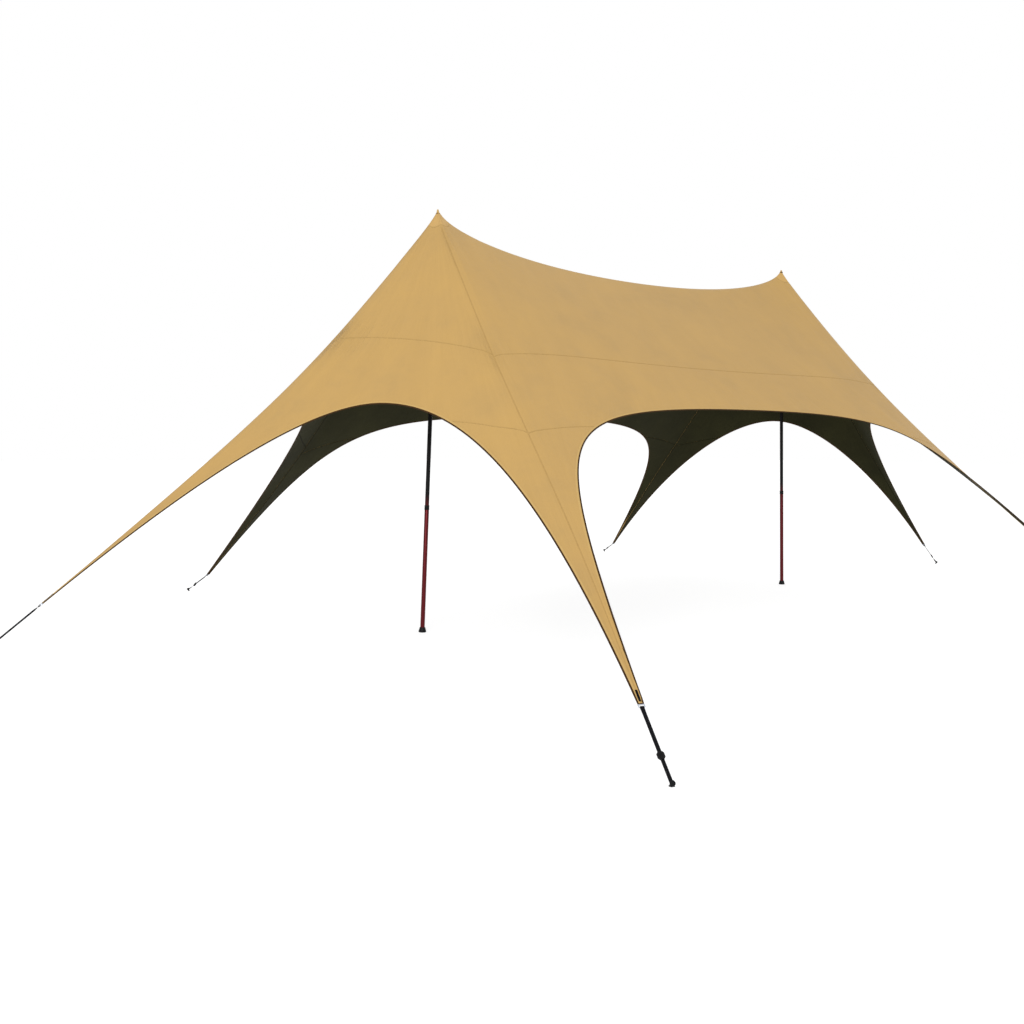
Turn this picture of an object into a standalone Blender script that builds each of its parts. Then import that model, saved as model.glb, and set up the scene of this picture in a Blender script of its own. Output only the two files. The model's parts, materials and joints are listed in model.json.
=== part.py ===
"""Canopy tent: a star-shaped shade on two poles, held out by six strapped and pegged arms.

Metres, +Z up. The two poles stand on the X axis, the long sides face -Y and +Y, and the ground is Z = 0.
Run it with: blender --background --python part.py
"""
import math

import bmesh
import bpy
import numpy as np
from mathutils import Matrix, Vector

# Whole tent
PEAK_HEIGHT = 4.0
PEAK_X = 2.513               # each peak's distance from the middle
POLE_FOOT_X = 2.692          # the poles lean in: their feet stand wider than the peaks
FABRIC_DROP = 0.007          # cloth thickness measured straight down, kept thick enough to be a solid
GAP = 0.0003                 # clearance between pieces that touch on the real tent

# Arms: pole side, azimuth in degrees, reach and height of the cloth tip, reach of the peg, from the peak
ARMS = {
    "left_end": (-1, 180.0, 3.45, 0.605, 4.18),
    "back_left": (-1, 109.5, 3.55, 0.24, 3.94),
    "front_left": (-1, -104.5, 4.01, 0.36, 4.36),
    "back_right": (1, 80.8, 3.79, 0.17, 4.08),
    "right_end": (1, 0.0, 3.50, 0.325, 3.88),
    "front_right": (1, -77.7, 3.64, 0.29, 4.16),
}
ARM_KNEE = (1.340, 2.337)    # reach and height where the tangents of an arm's ridge meet
ARM_WEIGHT = 2.04            # how closely the ridge follows that knee
CORNER_BOW = 0.118           # how far the long side's pull bows a corner arm's ridge, seen from above
ARM_TIP_HALF = 0.017         # half the width of the cloth at an arm's tip

# Main ridge between the peaks
RIDGE_KNEE = 0.514
RIDGE_SAG_HEIGHT = 3.585
RIDGE_WEIGHT = 0.881

# Arched hems between neighbouring arms
END_ARCHES = {               # by side: reach of the arch's top from the axis, height, fullness
    -1: (1.295, 2.136, 1.0),
    1: (1.211, 2.146, 0.88),
}
END_ARM_MARGIN = 4.1         # degrees that an end arch's knee stays short of the end arm
CORNER_ARM_MARGIN = -1.2     # the same at the corner arm, whose ridge bows away from the arch
SIDE_ARCH_Y = 1.749
SIDE_ARCH_HEIGHT = 2.14
SIDE_ARCH_KNEE = 2.685
SIDE_ARCH_MARGIN = 0.17      # metres that the knee of a side arch stays short of its arm
SIDE_ARCH_WEIGHT = 2.292

# Reinforced cone at each peak
CONE_RADIUS = 0.14
CONE_HOLE = 0.0066
CONE_RINGS = 5
CONE_CURVE = 1.6             # how much closer the rings stand near the top
PEAK_FLARE = 0.038           # how far the cloth is drawn up to a point at each peak
FLARE_REACH = 0.059

# Poles
LOWER_RADIUS = 0.0215
UPPER_RADIUS = 0.0200
COLLAR_HEIGHT = 1.20
COLLAR_RADIUS = 0.0240
COLLAR_LENGTH = 0.042
FOOT_RADIUS = 0.0370
FOOT_NECK = 0.0265
FOOT_HEIGHT = 0.048
FOOT_SOLE = 0.014
TUBE_TOP = 3.895             # distance up the pole where the upper tube ends
CAP_RADIUS = 0.0225
CAP_SHOULDER = 3.925
PIN_RADIUS = 0.0055
PIN_START = 3.955
PIN_TOP = 4.002

# Strap, ring, buckle and peg of each arm
RING_SIZE = (0.020, 0.046, 0.006)
RING_SLOT = (0.008, 0.030)
RING_BEVEL = 0.0015
STRAP_WIDTH = 0.025
STRAP_THICK = 0.004
BUCKLE_AT = 0.66             # share of the way from the cloth to the peg
BUCKLE_SIZE = (0.046, 0.044, 0.014)
BUCKLE_CORNER = 0.010
PEG_HEIGHT = 0.022           # height of the strap's eyelet above the ground
PEG_RADIUS = 0.0080
EYELET_RADIUS = 0.0083
STRAP_TAIL = 0.018
PEG_HEAD_RADIUS = 0.0170
PEG_HEAD_THICK = 0.012

# Panels: columns along the arched hem and rows from peak to hem
END_COLUMNS = 26
SIDE_COLUMNS = 44
CONE_COLUMNS = 8
ROWS = 12
DOWN_PULL = 4.0              # pull down the net against pull across it, for its plan
ROUND_SEGMENTS = 20
PEG_SEGMENTS = 16

# Colours: base colour, roughness, metallic
FINISHES = {
    "canopy_cloth": ((0.64, 0.43, 0.16), 0.85, 0.0),
    "pole_red": ((0.19, 0.010, 0.014), 0.35, 0.9),
    "black_plastic": ((0.012, 0.012, 0.013), 0.5, 0.0),
    "bright_metal": ((0.60, 0.63, 0.67), 0.3, 1.0),
    "black_webbing": ((0.010, 0.010, 0.011), 0.9, 0.0),
}


def clear_scene():
    for obj in list(bpy.data.objects):
        bpy.data.objects.remove(obj, do_unlink=True)


def finish(name):
    material = bpy.data.materials.get(name)
    if material is None:
        material = bpy.data.materials.new(name)
        material.use_nodes = True
        shader = material.node_tree.nodes["Principled BSDF"]
        colour, roughness, metallic = FINISHES[name]
        shader.inputs["Base Color"].default_value = (*colour, 1.0)
        shader.inputs["Roughness"].default_value = roughness
        shader.inputs["Metallic"].default_value = metallic
        material.diffuse_color = (*colour, 1.0)
    return material


def add_object(name, bm, finish_name, matrix=None):
    """Store a bmesh as one named object with its own finish."""
    bmesh.ops.recalc_face_normals(bm, faces=bm.faces)
    mesh = bpy.data.meshes.new(name)
    bm.to_mesh(mesh)
    bm.free()
    obj = bpy.data.objects.new(name, mesh)
    bpy.context.scene.collection.objects.link(obj)
    obj.data.materials.append(finish(finish_name))
    if matrix is not None:
        obj.matrix_world = matrix
    return obj


# Curves that shape the cloth
def conic(start, knee, end, weight, steps):
    """Points of a conic arc from start to end whose end tangents meet at knee."""
    t = np.linspace(0.0, 1.0, steps + 1)[:, None]
    a = (1.0 - t) ** 2
    b = 2.0 * weight * t * (1.0 - t)
    c = t ** 2
    return (a * np.asarray(start) + b * np.asarray(knee) + c * np.asarray(end)) / (a + b + c)


def resample(points, count):
    """The same polyline as count equal steps of length."""
    steps = np.linalg.norm(np.diff(points, axis=0), axis=1)
    along = np.concatenate([[0.0], np.cumsum(steps)])
    wanted = np.linspace(0.0, along[-1], count + 1)
    return np.stack([np.interp(wanted, along, points[:, k]) for k in range(points.shape[1])], axis=1)


def peak(side):
    return np.array([side * PEAK_X, 0.0, PEAK_HEIGHT])


def outward(azimuth):
    angle = math.radians(azimuth)
    return np.array([math.cos(angle), math.sin(angle), 0.0])


def arm_point(arm, reach, height):
    side, azimuth = ARMS[arm][:2]
    point = peak(side) + outward(azimuth) * reach
    point[2] = height
    return point


def flare(reach):
    """How much higher the cloth is drawn at some distance from a peak's axis."""
    return PEAK_FLARE * np.exp(-reach / FLARE_REACH)


def arm_bow(arm, reach):
    """Sideways offset of a corner arm's ridge towards the middle of the tent."""
    side, azimuth, tip_reach = ARMS[arm][:3]
    across = np.cross([0.0, 0.0, 1.0], outward(azimuth))
    if abs(across[0]) < 0.5:
        return 0.0 * across
    share = (reach - CONE_RADIUS) / (tip_reach - CONE_RADIUS)
    return across * math.copysign(1.0, -side * across[0]) * CORNER_BOW * 4.0 * share * (1.0 - share)


def arm_profile(arm):
    """Reach and height along an arm's ridge, from the cone's seam to the tip."""
    reach, height = ARMS[arm][2:4]
    line = conic((0.0, PEAK_HEIGHT - PEAK_FLARE), ARM_KNEE, (reach, height), ARM_WEIGHT, 200)
    line[:, 1] += flare(line[:, 0])
    seam = np.interp(CONE_RADIUS, line[:, 0], line[:, 1])
    return np.vstack([[CONE_RADIUS, seam], line[line[:, 0] > CONE_RADIUS * 1.02]])


def arm_ridge(arm, rows):
    line = resample(arm_profile(arm), rows)
    return np.array([arm_point(arm, reach, height) + arm_bow(arm, reach) for reach, height in line])


def main_ridge_profile():
    """Distance from the peak and height along half of the main ridge."""
    knee = (RIDGE_KNEE, RIDGE_SAG_HEIGHT)
    start = (0.0, PEAK_HEIGHT - PEAK_FLARE)
    half = conic(start, knee, (PEAK_X, RIDGE_SAG_HEIGHT), RIDGE_WEIGHT, 200)
    half[:, 1] += flare(half[:, 0])
    seam = np.interp(CONE_RADIUS, half[:, 0], half[:, 1])
    return np.vstack([[CONE_RADIUS, seam], half[half[:, 0] > CONE_RADIUS * 1.02]])


def main_ridge(columns):
    half = main_ridge_profile()
    left = np.stack([half[:, 0] - PEAK_X, 0.0 * half[:, 0], half[:, 1]], axis=1)
    whole = np.vstack([left, left[::-1][1:] * [-1.0, 1.0, 1.0]])
    return resample(whole, columns)


def seam_stations(side):
    """Azimuths round one peak, in degrees, where the height of the cone's seam is known."""
    stations = []
    for arm, (arm_side, azimuth, *_rest) in ARMS.items():
        if arm_side == side:
            stations.append((azimuth % 360.0, arm_profile(arm)[0][1]))
    stations.append(((0.0 if side < 0 else 180.0), main_ridge_profile()[0][1]))
    return sorted(stations)


def seam_point(side, azimuth, radius=CONE_RADIUS):
    """A point of the seam between cone and panels, its height eased between the ridges."""
    stations = seam_stations(side)
    stations = stations + [(stations[0][0] + 360.0, stations[0][1])]
    turn = azimuth % 360.0
    if turn < stations[0][0]:
        turn += 360.0
    height = stations[-1][1]
    for (from_turn, from_height), (to_turn, to_height) in zip(stations, stations[1:]):
        if from_turn <= turn <= to_turn:
            share = (turn - from_turn) / (to_turn - from_turn)
            share = 0.5 - 0.5 * math.cos(math.pi * share)
            height = from_height + (to_height - from_height) * share
    point = peak(side) + outward(azimuth) * radius
    point[2] = height
    return point


def tip_corner(arm, towards):
    """The corner of an arm's tip that faces the next arm."""
    reach, height = ARMS[arm][2:4]
    tip = arm_point(arm, reach, height)
    across = np.cross([0.0, 0.0, 1.0], outward(ARMS[arm][1]))
    side = math.copysign(1.0, float(np.dot(across, towards - tip)))
    return tip + across * side * ARM_TIP_HALF


def arch(first, last, top, along, knees, weight, columns):
    """The arched hem from one arm's tip over the top to the next arm's tip."""
    rise = conic(tip_corner(first, top), top - along * knees[0], top, weight, 200)
    fall = conic(tip_corner(last, top), top + along * knees[1], top, weight, 200)[::-1]
    hem = resample(np.vstack([rise, fall[1:]]), columns - 2)
    first_tip = arm_point(first, *ARMS[first][2:4])
    last_tip = arm_point(last, *ARMS[last][2:4])
    return np.vstack([first_tip, hem, last_tip])


def bow_of(edge):
    """How far an edge lies off the straight line between its ends, seen from above."""
    chord = edge[-1, :2] - edge[0, :2]
    share = (edge[:, :2] - edge[0, :2]) @ chord / (chord @ chord)
    bow = np.zeros_like(edge)
    bow[:, :2] = edge[:, :2] - edge[0, :2] - share[:, None] * chord
    return bow


def relax(top, bottom, first, last):
    """Let a net settle between its four edges: each knot is pulled level with its four neighbours."""
    rows, columns = len(first) - 1, len(top) - 1
    grid = np.zeros((rows + 1, columns + 1, 3))
    bows = bow_of(first)[:, None], bow_of(last)[:, None]
    grid[0], grid[-1], grid[:, 0], grid[:, -1] = top, bottom, first - bows[0][:, 0], last - bows[1][:, 0]
    count = (rows - 1) * (columns - 1)
    pull = np.zeros((count, count))
    load = np.zeros((count, 3))
    for row in range(1, rows):
        for column in range(1, columns):
            knot = (row - 1) * (columns - 1) + column - 1
            pulls = ((-1, 0, DOWN_PULL), (1, 0, DOWN_PULL), (0, -1, 1.0), (0, 1, 1.0))
            for step_row, step_column, force in pulls:
                near_row, near_column = row + step_row, column + step_column
                pull[knot, knot] += force
                if 0 < near_row < rows and 0 < near_column < columns:
                    pull[knot, (near_row - 1) * (columns - 1) + near_column - 1] -= force
                else:
                    load[knot] += force * grid[near_row, near_column]
    grid[1:-1, 1:-1] = np.linalg.solve(pull, load).reshape(rows - 1, columns - 1, 3)
    across = np.linspace(0.0, 1.0, columns + 1)[None, :, None]
    return settle_heights(grid + (1.0 - across) * bows[0] + across * bows[1])


def settle_heights(grid):
    """Keep the net's plan and give it the heights of a film stretched evenly between its edges."""
    rows, columns = grid.shape[:2]
    knots = np.arange(rows * columns).reshape(rows, columns)
    plan = grid[:, :, :2].reshape(-1, 2)
    pull = np.zeros((rows * columns, rows * columns))
    for row in range(rows - 1):
        for column in range(columns - 1):
            around = knots[row:row + 2, column:column + 2].ravel()[[0, 1, 3, 2]]
            for skip in range(4):
                triangle = np.delete(around, skip)
                corners = plan[triangle]
                sides = np.roll(corners, -2, axis=0) - np.roll(corners, -1, axis=0)
                area = 0.5 * abs(sides[0, 0] * sides[1, 1] - sides[0, 1] * sides[1, 0])
                slopes = np.stack([-sides[:, 1], sides[:, 0]], axis=1) / (2.0 * max(area, 1e-9))
                pull[np.ix_(triangle, triangle)] += 0.5 * area * slopes @ slopes.T
    free = knots[1:-1, 1:-1].ravel()
    fixed = np.setdiff1d(knots.ravel(), free)
    heights = grid[:, :, 2].ravel().copy()
    load = -pull[np.ix_(free, fixed)] @ heights[fixed]
    heights[free] = np.linalg.solve(pull[np.ix_(free, free)], load)
    grid[:, :, 2] = heights.reshape(rows, columns)
    return grid


def short_way(start, end):
    """The end azimuth written so that going there from start turns less than half round."""
    return start + (end - start + 180.0) % 360.0 - 180.0


def arc_azimuths(start, end, columns):
    return [start + (end - start) * k / columns for k in range(columns + 1)]


def arc_of_seam(side, start, end, columns):
    return np.array([seam_point(side, azimuth) for azimuth in arc_azimuths(start, end, columns)])


def seam_azimuths(side):
    """Every azimuth where a panel has a corner on the cone's seam, once round from 0 degrees."""
    end_arm, corners, ridge = "right_end", ("front_right", "back_right"), 180.0
    if side < 0:
        end_arm, corners, ridge = "left_end", ("front_left", "back_left"), 0.0
    found = set()
    for corner in corners:
        azimuth = ARMS[corner][1]
        end = ARMS[end_arm][1]
        arcs = arc_azimuths(end, short_way(end, azimuth), END_COLUMNS)
        arcs += arc_azimuths(azimuth, short_way(azimuth, ridge), CONE_COLUMNS)
        found.update(round(a % 360.0, 6) for a in arcs)
    return sorted(found)


def end_panel(first, last):
    """The panel between an end arm and a corner arm, as rows of points from the cone to the hem."""
    side, start = ARMS[first][:2]
    end = short_way(start, ARMS[last][1])
    middle = 0.5 * (start + end)
    arch_reach, arch_height, weight = END_ARCHES[side]
    top = peak(side) + outward(middle) * arch_reach
    top[2] = arch_height
    along = np.cross([0.0, 0.0, 1.0], outward(middle)) * math.copysign(1.0, end - start)
    margins = (END_ARM_MARGIN, CORNER_ARM_MARGIN)
    knees = [arch_reach * math.tan(math.radians(abs(end - start) / 2.0 - margin)) for margin in margins]
    hem = arch(first, last, top, along, knees, weight, END_COLUMNS)
    seam = arc_of_seam(side, start, end, END_COLUMNS)
    return relax(seam, hem, arm_ridge(first, ROWS), arm_ridge(last, ROWS))


def side_knee(arm):
    """Distance from the middle to a side arch's knee, kept short of the arm's ridge."""
    ridge = np.abs(arm_ridge(arm, 80))
    return min(SIDE_ARCH_KNEE, np.interp(SIDE_ARCH_Y, ridge[:, 1], ridge[:, 0]) - SIDE_ARCH_MARGIN)


def side_panel(first, last, facing):
    """The long panel under the main ridge, from the left corner arm to the right one."""
    top = np.array([0.0, facing * SIDE_ARCH_Y, SIDE_ARCH_HEIGHT])
    along = np.array([1.0, 0.0, 0.0])
    knees = (side_knee(first), side_knee(last))
    hem = arch(first, last, top, along, knees, SIDE_ARCH_WEIGHT, SIDE_COLUMNS)
    left = arc_of_seam(-1, ARMS[first][1], 0.0, CONE_COLUMNS)
    right = arc_of_seam(1, facing * 180.0, ARMS[last][1], CONE_COLUMNS)
    ridge = main_ridge(SIDE_COLUMNS - 2 * CONE_COLUMNS)
    upper = np.vstack([left[:-1], ridge, right[1:]])
    return relax(upper, hem, arm_ridge(first, ROWS), arm_ridge(last, ROWS))


def part_from_neighbours(grid, side, arms):
    """Draw a panel's seams back by half the gap from the planes of its ridges and from the cone."""
    inside = grid[1:-1, 1:-1].mean(axis=(0, 1))
    for column, arm in ((0, arms[0]), (-1, arms[1])):
        arm_side, azimuth = ARMS[arm][:2]
        across = np.cross([0.0, 0.0, 1.0], outward(azimuth))
        across *= math.copysign(1.0, float(np.dot(across, inside - peak(arm_side))))
        grid[:, column] += across * GAP / 2.0
    for point in grid[0]:
        middle = peak(math.copysign(1.0, point[0]) if side == 0 else side)
        reach = math.hypot(point[0] - middle[0], point[1])
        if reach < CONE_RADIUS * 1.05:
            point[:2] += (point[:2] - middle[:2]) / reach * GAP / 2.0
        if side == 0:
            point[1] += math.copysign(GAP / 2.0, inside[1])
    return grid


# Solids made from the cloth's surface
def panel_solid(name, grid):
    """A flat grid, thickened and then draped onto the panel's rows and columns."""
    rows, columns = grid.shape[0] - 1, grid.shape[1] - 1
    bm = bmesh.new()
    bmesh.ops.create_grid(bm, x_segments=columns, y_segments=rows, size=1.0)
    skin = bmesh.ops.extrude_face_region(bm, geom=bm.faces[:], use_keep_orig=True)
    lower = [item for item in skin["geom"] if isinstance(item, bmesh.types.BMVert)]
    bmesh.ops.translate(bm, verts=lower, vec=(0.0, 0.0, -1.0))
    for vert in bm.verts:
        column = round((vert.co.x + 1.0) / 2.0 * columns)
        row = round((vert.co.y + 1.0) / 2.0 * rows)
        drop = FABRIC_DROP if vert.co.z < -0.5 else 0.0
        vert.co = Vector(grid[row, column]) - Vector((0.0, 0.0, drop))
    return add_object(name, bm, "canopy_cloth")


def cone_solid(name, side):
    """Rings widened from the pin's hole to the seam, thickened and draped to the cone's shape."""
    azimuths = seam_azimuths(side)
    bm = bmesh.new()
    bmesh.ops.create_circle(bm, segments=len(azimuths), radius=1.0)
    edges = bm.edges[:]
    for ring in range(CONE_RINGS):
        grown = bmesh.ops.extrude_edge_only(bm, edges=edges)
        edges = [item for item in grown["geom"] if isinstance(item, bmesh.types.BMEdge)]
        verts = [item for item in grown["geom"] if isinstance(item, bmesh.types.BMVert)]
        for vert in verts:
            vert.co *= (ring + 2.0) / (ring + 1.0)
    skin = bmesh.ops.extrude_face_region(bm, geom=bm.faces[:], use_keep_orig=True)
    lower = [item for item in skin["geom"] if isinstance(item, bmesh.types.BMVert)]
    bmesh.ops.translate(bm, verts=lower, vec=(0.0, 0.0, -1.0))
    outer = CONE_RADIUS - GAP / 2.0
    for vert in bm.verts:
        share = round((math.hypot(vert.co.x, vert.co.y) - 1.0)) / CONE_RINGS
        station = round(math.atan2(vert.co.y, vert.co.x) / math.tau * len(azimuths))
        azimuth = azimuths[station % len(azimuths)]
        seam = seam_point(side, azimuth, 1.0)
        radius = CONE_HOLE + (outer - CONE_HOLE) * share ** CONE_CURVE
        low = seam[2] - flare(CONE_RADIUS)
        base = PEAK_HEIGHT - PEAK_FLARE
        height = base + (low - base) * radius / CONE_RADIUS + flare(radius)
        drop = FABRIC_DROP if vert.co.z < -0.5 else 0.0
        point = peak(side) + outward(azimuth) * radius
        vert.co = Vector((point[0], point[1], height - drop))
    return add_object(name, bm, "canopy_cloth")


def build_canopy():
    panels = {
        "end_panel_left_front": (-1, "left_end", "front_left"),
        "end_panel_left_back": (-1, "left_end", "back_left"),
        "end_panel_right_front": (1, "right_end", "front_right"),
        "end_panel_right_back": (1, "right_end", "back_right"),
    }
    for name, (side, first, last) in panels.items():
        panel_solid(name, part_from_neighbours(end_panel(first, last), side, (first, last)))
    front = side_panel("front_left", "front_right", -1)
    panel_solid("side_panel_front", part_from_neighbours(front, 0, ("front_left", "front_right")))
    back = side_panel("back_left", "back_right", 1)
    panel_solid("side_panel_back", part_from_neighbours(back, 0, ("back_left", "back_right")))
    cone_solid("peak_cone_left", -1)
    cone_solid("peak_cone_right", 1)


# Turned and boxed fittings
def turned(profile, segments=ROUND_SEGMENTS):
    """A closed outline of radius and height pairs, spun once round the Z axis."""
    bm = bmesh.new()
    verts = [bm.verts.new((radius, 0.0, height)) for radius, height in profile]
    outline = [bm.edges.new((a, b)) for a, b in zip(verts, verts[1:] + verts[:1])]
    geometry = verts + outline
    bmesh.ops.spin(
        bm, geom=geometry, cent=(0, 0, 0), axis=(0, 0, 1), angle=math.tau, steps=segments, use_merge=True)
    bmesh.ops.remove_doubles(bm, verts=bm.verts, dist=0.00001)
    bmesh.ops.dissolve_degenerate(bm, edges=bm.edges, dist=0.00001)
    on_axis = [face for face in bm.faces if face.calc_area() < 1e-12]
    bmesh.ops.delete(bm, geom=on_axis, context="FACES")
    return bm


def rod(radius, bottom, top, bevel, segments=ROUND_SEGMENTS):
    """A round bar from bottom to top along Z with eased ends."""
    bm = bmesh.new()
    made = bmesh.ops.create_cone(
        bm, cap_ends=True, segments=segments, radius1=radius, radius2=radius, depth=top - bottom)
    bmesh.ops.translate(bm, verts=made["verts"], vec=(0.0, 0.0, 0.5 * (top + bottom)))
    if bevel > 0.0:
        rims = [edge for edge in bm.edges if abs(edge.verts[0].co.z - edge.verts[1].co.z) < 1e-6]
        bmesh.ops.bevel(bm, geom=rims, offset=bevel, segments=1, affect="EDGES")
    return bm


def box(size, centre, bevel=0.0):
    bm = bmesh.new()
    made = bmesh.ops.create_cube(bm, size=1.0)
    bmesh.ops.scale(bm, verts=made["verts"], vec=size)
    bmesh.ops.translate(bm, verts=made["verts"], vec=centre)
    if bevel > 0.0:
        bmesh.ops.bevel(bm, geom=bm.edges[:], offset=bevel, segments=1, affect="EDGES")
    return bm


def cut_level(bm, matrix, height=0.0):
    """Take away what lies under a level and close the cut, so that the piece stands flat on it."""
    inverse = matrix.inverted()
    plane_point = inverse @ Vector((matrix.translation.x, matrix.translation.y, height))
    plane_normal = (inverse.to_3x3() @ Vector((0.0, 0.0, -1.0))).normalized()
    geometry = bm.verts[:] + bm.edges[:] + bm.faces[:]
    bmesh.ops.bisect_plane(bm, geom=geometry, plane_co=plane_point, plane_no=plane_normal, clear_outer=True)
    rim = [edge for edge in bm.edges if edge.is_boundary]
    bmesh.ops.holes_fill(bm, edges=rim, sides=0)
    return bm


def cutters():
    collection = bpy.data.collections.get("cutters")
    if collection is None:
        collection = bpy.data.collections.new("cutters")
        bpy.context.scene.collection.children.link(collection)
    return collection


def cut_away(obj, bm, name):
    """Subtract a helper shape, given in the object's own space."""
    helper_mesh = bpy.data.meshes.new(name)
    bmesh.ops.recalc_face_normals(bm, faces=bm.faces)
    bm.to_mesh(helper_mesh)
    bm.free()
    helper = bpy.data.objects.new(name, helper_mesh)
    cutters().objects.link(helper)
    helper.matrix_world = obj.matrix_world
    helper.hide_render = True
    helper.display_type = "WIRE"
    cut = obj.modifiers.new(name, "BOOLEAN")
    cut.operation = "DIFFERENCE"
    cut.solver = "EXACT"
    cut.object = helper


# Poles
def pole_matrix(side):
    """The pole's own space: its Z axis runs from the foot on the ground up to the peak."""
    foot = Vector((side * POLE_FOOT_X, 0.0, 0.0))
    up = (Vector((side * PEAK_X, 0.0, PEAK_HEIGHT)) - foot).normalized()
    across = Vector((0.0, 1.0, 0.0))
    matrix = Matrix((across.cross(up), across, up)).transposed().to_4x4()
    matrix.translation = foot
    return matrix


def build_pole(label, side):
    matrix = pole_matrix(side)
    socket = LOWER_RADIUS + GAP
    foot = turned([
        (0.0, -0.01), (FOOT_RADIUS, -0.01), (FOOT_RADIUS, 0.012), (FOOT_NECK, FOOT_HEIGHT - 0.003),
        (FOOT_NECK - 0.002, FOOT_HEIGHT), (socket, FOOT_HEIGHT), (socket, FOOT_SOLE), (0.0, FOOT_SOLE),
    ])
    add_object(f"pole_foot_{label}", cut_level(foot, matrix), "black_plastic", matrix)

    lower = rod(LOWER_RADIUS, FOOT_SOLE + GAP, COLLAR_HEIGHT, 0.001)
    add_object(f"pole_lower_{label}", lower, "pole_red", matrix)

    low = COLLAR_HEIGHT - COLLAR_LENGTH / 2.0
    high = COLLAR_HEIGHT + COLLAR_LENGTH / 2.0
    collar = turned([
        (socket, low), (COLLAR_RADIUS - 0.001, low), (COLLAR_RADIUS, low + 0.003),
        (COLLAR_RADIUS, high - 0.003), (COLLAR_RADIUS - 0.001, high), (UPPER_RADIUS + GAP, high),
        (UPPER_RADIUS + GAP, COLLAR_HEIGHT + GAP), (socket, COLLAR_HEIGHT + GAP),
    ])
    add_object(f"pole_collar_{label}", collar, "black_plastic", matrix)

    upper = rod(UPPER_RADIUS, COLLAR_HEIGHT + GAP, TUBE_TOP, 0.001)
    add_object(f"pole_upper_{label}", upper, "pole_red", matrix)

    sleeve = UPPER_RADIUS + GAP
    cap = turned([
        (sleeve, TUBE_TOP - 0.06), (CAP_RADIUS, TUBE_TOP - 0.06), (CAP_RADIUS, CAP_SHOULDER - 0.006),
        (CAP_RADIUS - 0.006, CAP_SHOULDER), (PIN_RADIUS, PIN_START), (PIN_RADIUS, PIN_TOP - 0.004),
        (PIN_RADIUS * 0.5, PIN_TOP), (0.0, PIN_TOP), (0.0, TUBE_TOP + GAP), (sleeve, TUBE_TOP + GAP),
    ])
    add_object(f"pole_cap_{label}", cap, "black_plastic", matrix)


# Arm ends
def arm_matrix(arm):
    """Space of an arm's fittings: X runs down the strap from the cloth's tip, Z is square to the strap."""
    side, azimuth, reach, height, peg_reach = ARMS[arm]
    tip = Vector(arm_point(arm, reach, height))
    peg = Vector(arm_point(arm, peg_reach, PEG_HEIGHT))
    down = (peg - tip).normalized()
    across = Vector((0.0, 0.0, 1.0)).cross(Vector(outward(azimuth)))
    matrix = Matrix((down, across, down.cross(across))).transposed().to_4x4()
    matrix.translation = tip
    return matrix, (peg - tip).length


def build_arm_end(arm):
    matrix, length = arm_matrix(arm)
    steepness = math.asin(-matrix[2][0])
    level = -0.5 * FABRIC_DROP * math.cos(steepness)

    ring_start = (RING_SIZE[2] / 2.0 - RING_BEVEL - level) * math.tan(steepness) + GAP
    ring_x = ring_start + RING_SIZE[0] / 2.0
    ring_bm = box(RING_SIZE, (ring_x, 0.0, level), RING_BEVEL)
    ring = add_object(f"tip_ring_{arm}", ring_bm, "bright_metal", matrix)
    slot = (RING_SLOT[0], RING_SLOT[1], RING_SIZE[2] * 3.0)
    cut_away(ring, box(slot, (ring_x, 0.0, level)), f"ring_slot_{arm}")

    strap_start = ring_start + RING_SIZE[0] + GAP
    strap_end = length + STRAP_TAIL
    strap_size = (strap_end - strap_start, STRAP_WIDTH, STRAP_THICK)
    strap_box = box(strap_size, (0.5 * (strap_start + strap_end), 0.0, level))
    strap = add_object(f"strap_{arm}", strap_box, "black_webbing", matrix)
    eyelet = rod(EYELET_RADIUS, -0.01, 0.01, 0.0, PEG_SEGMENTS)
    bmesh.ops.translate(eyelet, verts=eyelet.verts, vec=(length, 0.0, level))
    cut_away(strap, eyelet, f"eyelet_{arm}")

    buckle_x = length * BUCKLE_AT
    buckle_bm = box(BUCKLE_SIZE, (buckle_x, 0.0, level))
    corners = [edge for edge in buckle_bm.edges if abs(edge.verts[0].co.z - edge.verts[1].co.z) > 0.01]
    bmesh.ops.bevel(buckle_bm, geom=corners, offset=BUCKLE_CORNER, segments=1, affect="EDGES")
    buckle = add_object(f"strap_buckle_{arm}", buckle_bm, "black_plastic", matrix)
    passage = (BUCKLE_SIZE[0] * 2.0, STRAP_WIDTH + 2.0 * GAP, STRAP_THICK + 2.0 * GAP)
    cut_away(buckle, box(passage, (buckle_x, 0.0, level)), f"buckle_passage_{arm}")

    head_low = level + STRAP_THICK / 2.0 + GAP
    head_high = head_low + PEG_HEAD_THICK
    peg = turned([
        (0.0, -0.08), (PEG_RADIUS, -0.08), (PEG_RADIUS, head_low), (PEG_HEAD_RADIUS - 0.002, head_low),
        (PEG_HEAD_RADIUS, head_low + 0.003), (PEG_HEAD_RADIUS, head_high - 0.003),
        (PEG_HEAD_RADIUS - 0.003, head_high), (0.0, head_high),
    ], PEG_SEGMENTS)
    peg_matrix = matrix @ Matrix.Translation((length, 0.0, 0.0))
    add_object(f"ground_peg_{arm}", cut_level(peg, peg_matrix), "black_plastic", peg_matrix)


def centre_on_origin():
    """Slide everything along the ground until the middle of its outline stands on the origin."""
    bpy.context.view_layer.update()
    built = [obj for obj in bpy.context.scene.collection.objects if obj.type == "MESH"]
    corners = np.array([obj.matrix_world @ vert.co for obj in built for vert in obj.data.vertices])
    middle = 0.5 * (corners.min(axis=0) + corners.max(axis=0))
    for obj in bpy.data.objects:
        obj.matrix_world = Matrix.Translation((-middle[0], -middle[1], 0.0)) @ obj.matrix_world


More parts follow.
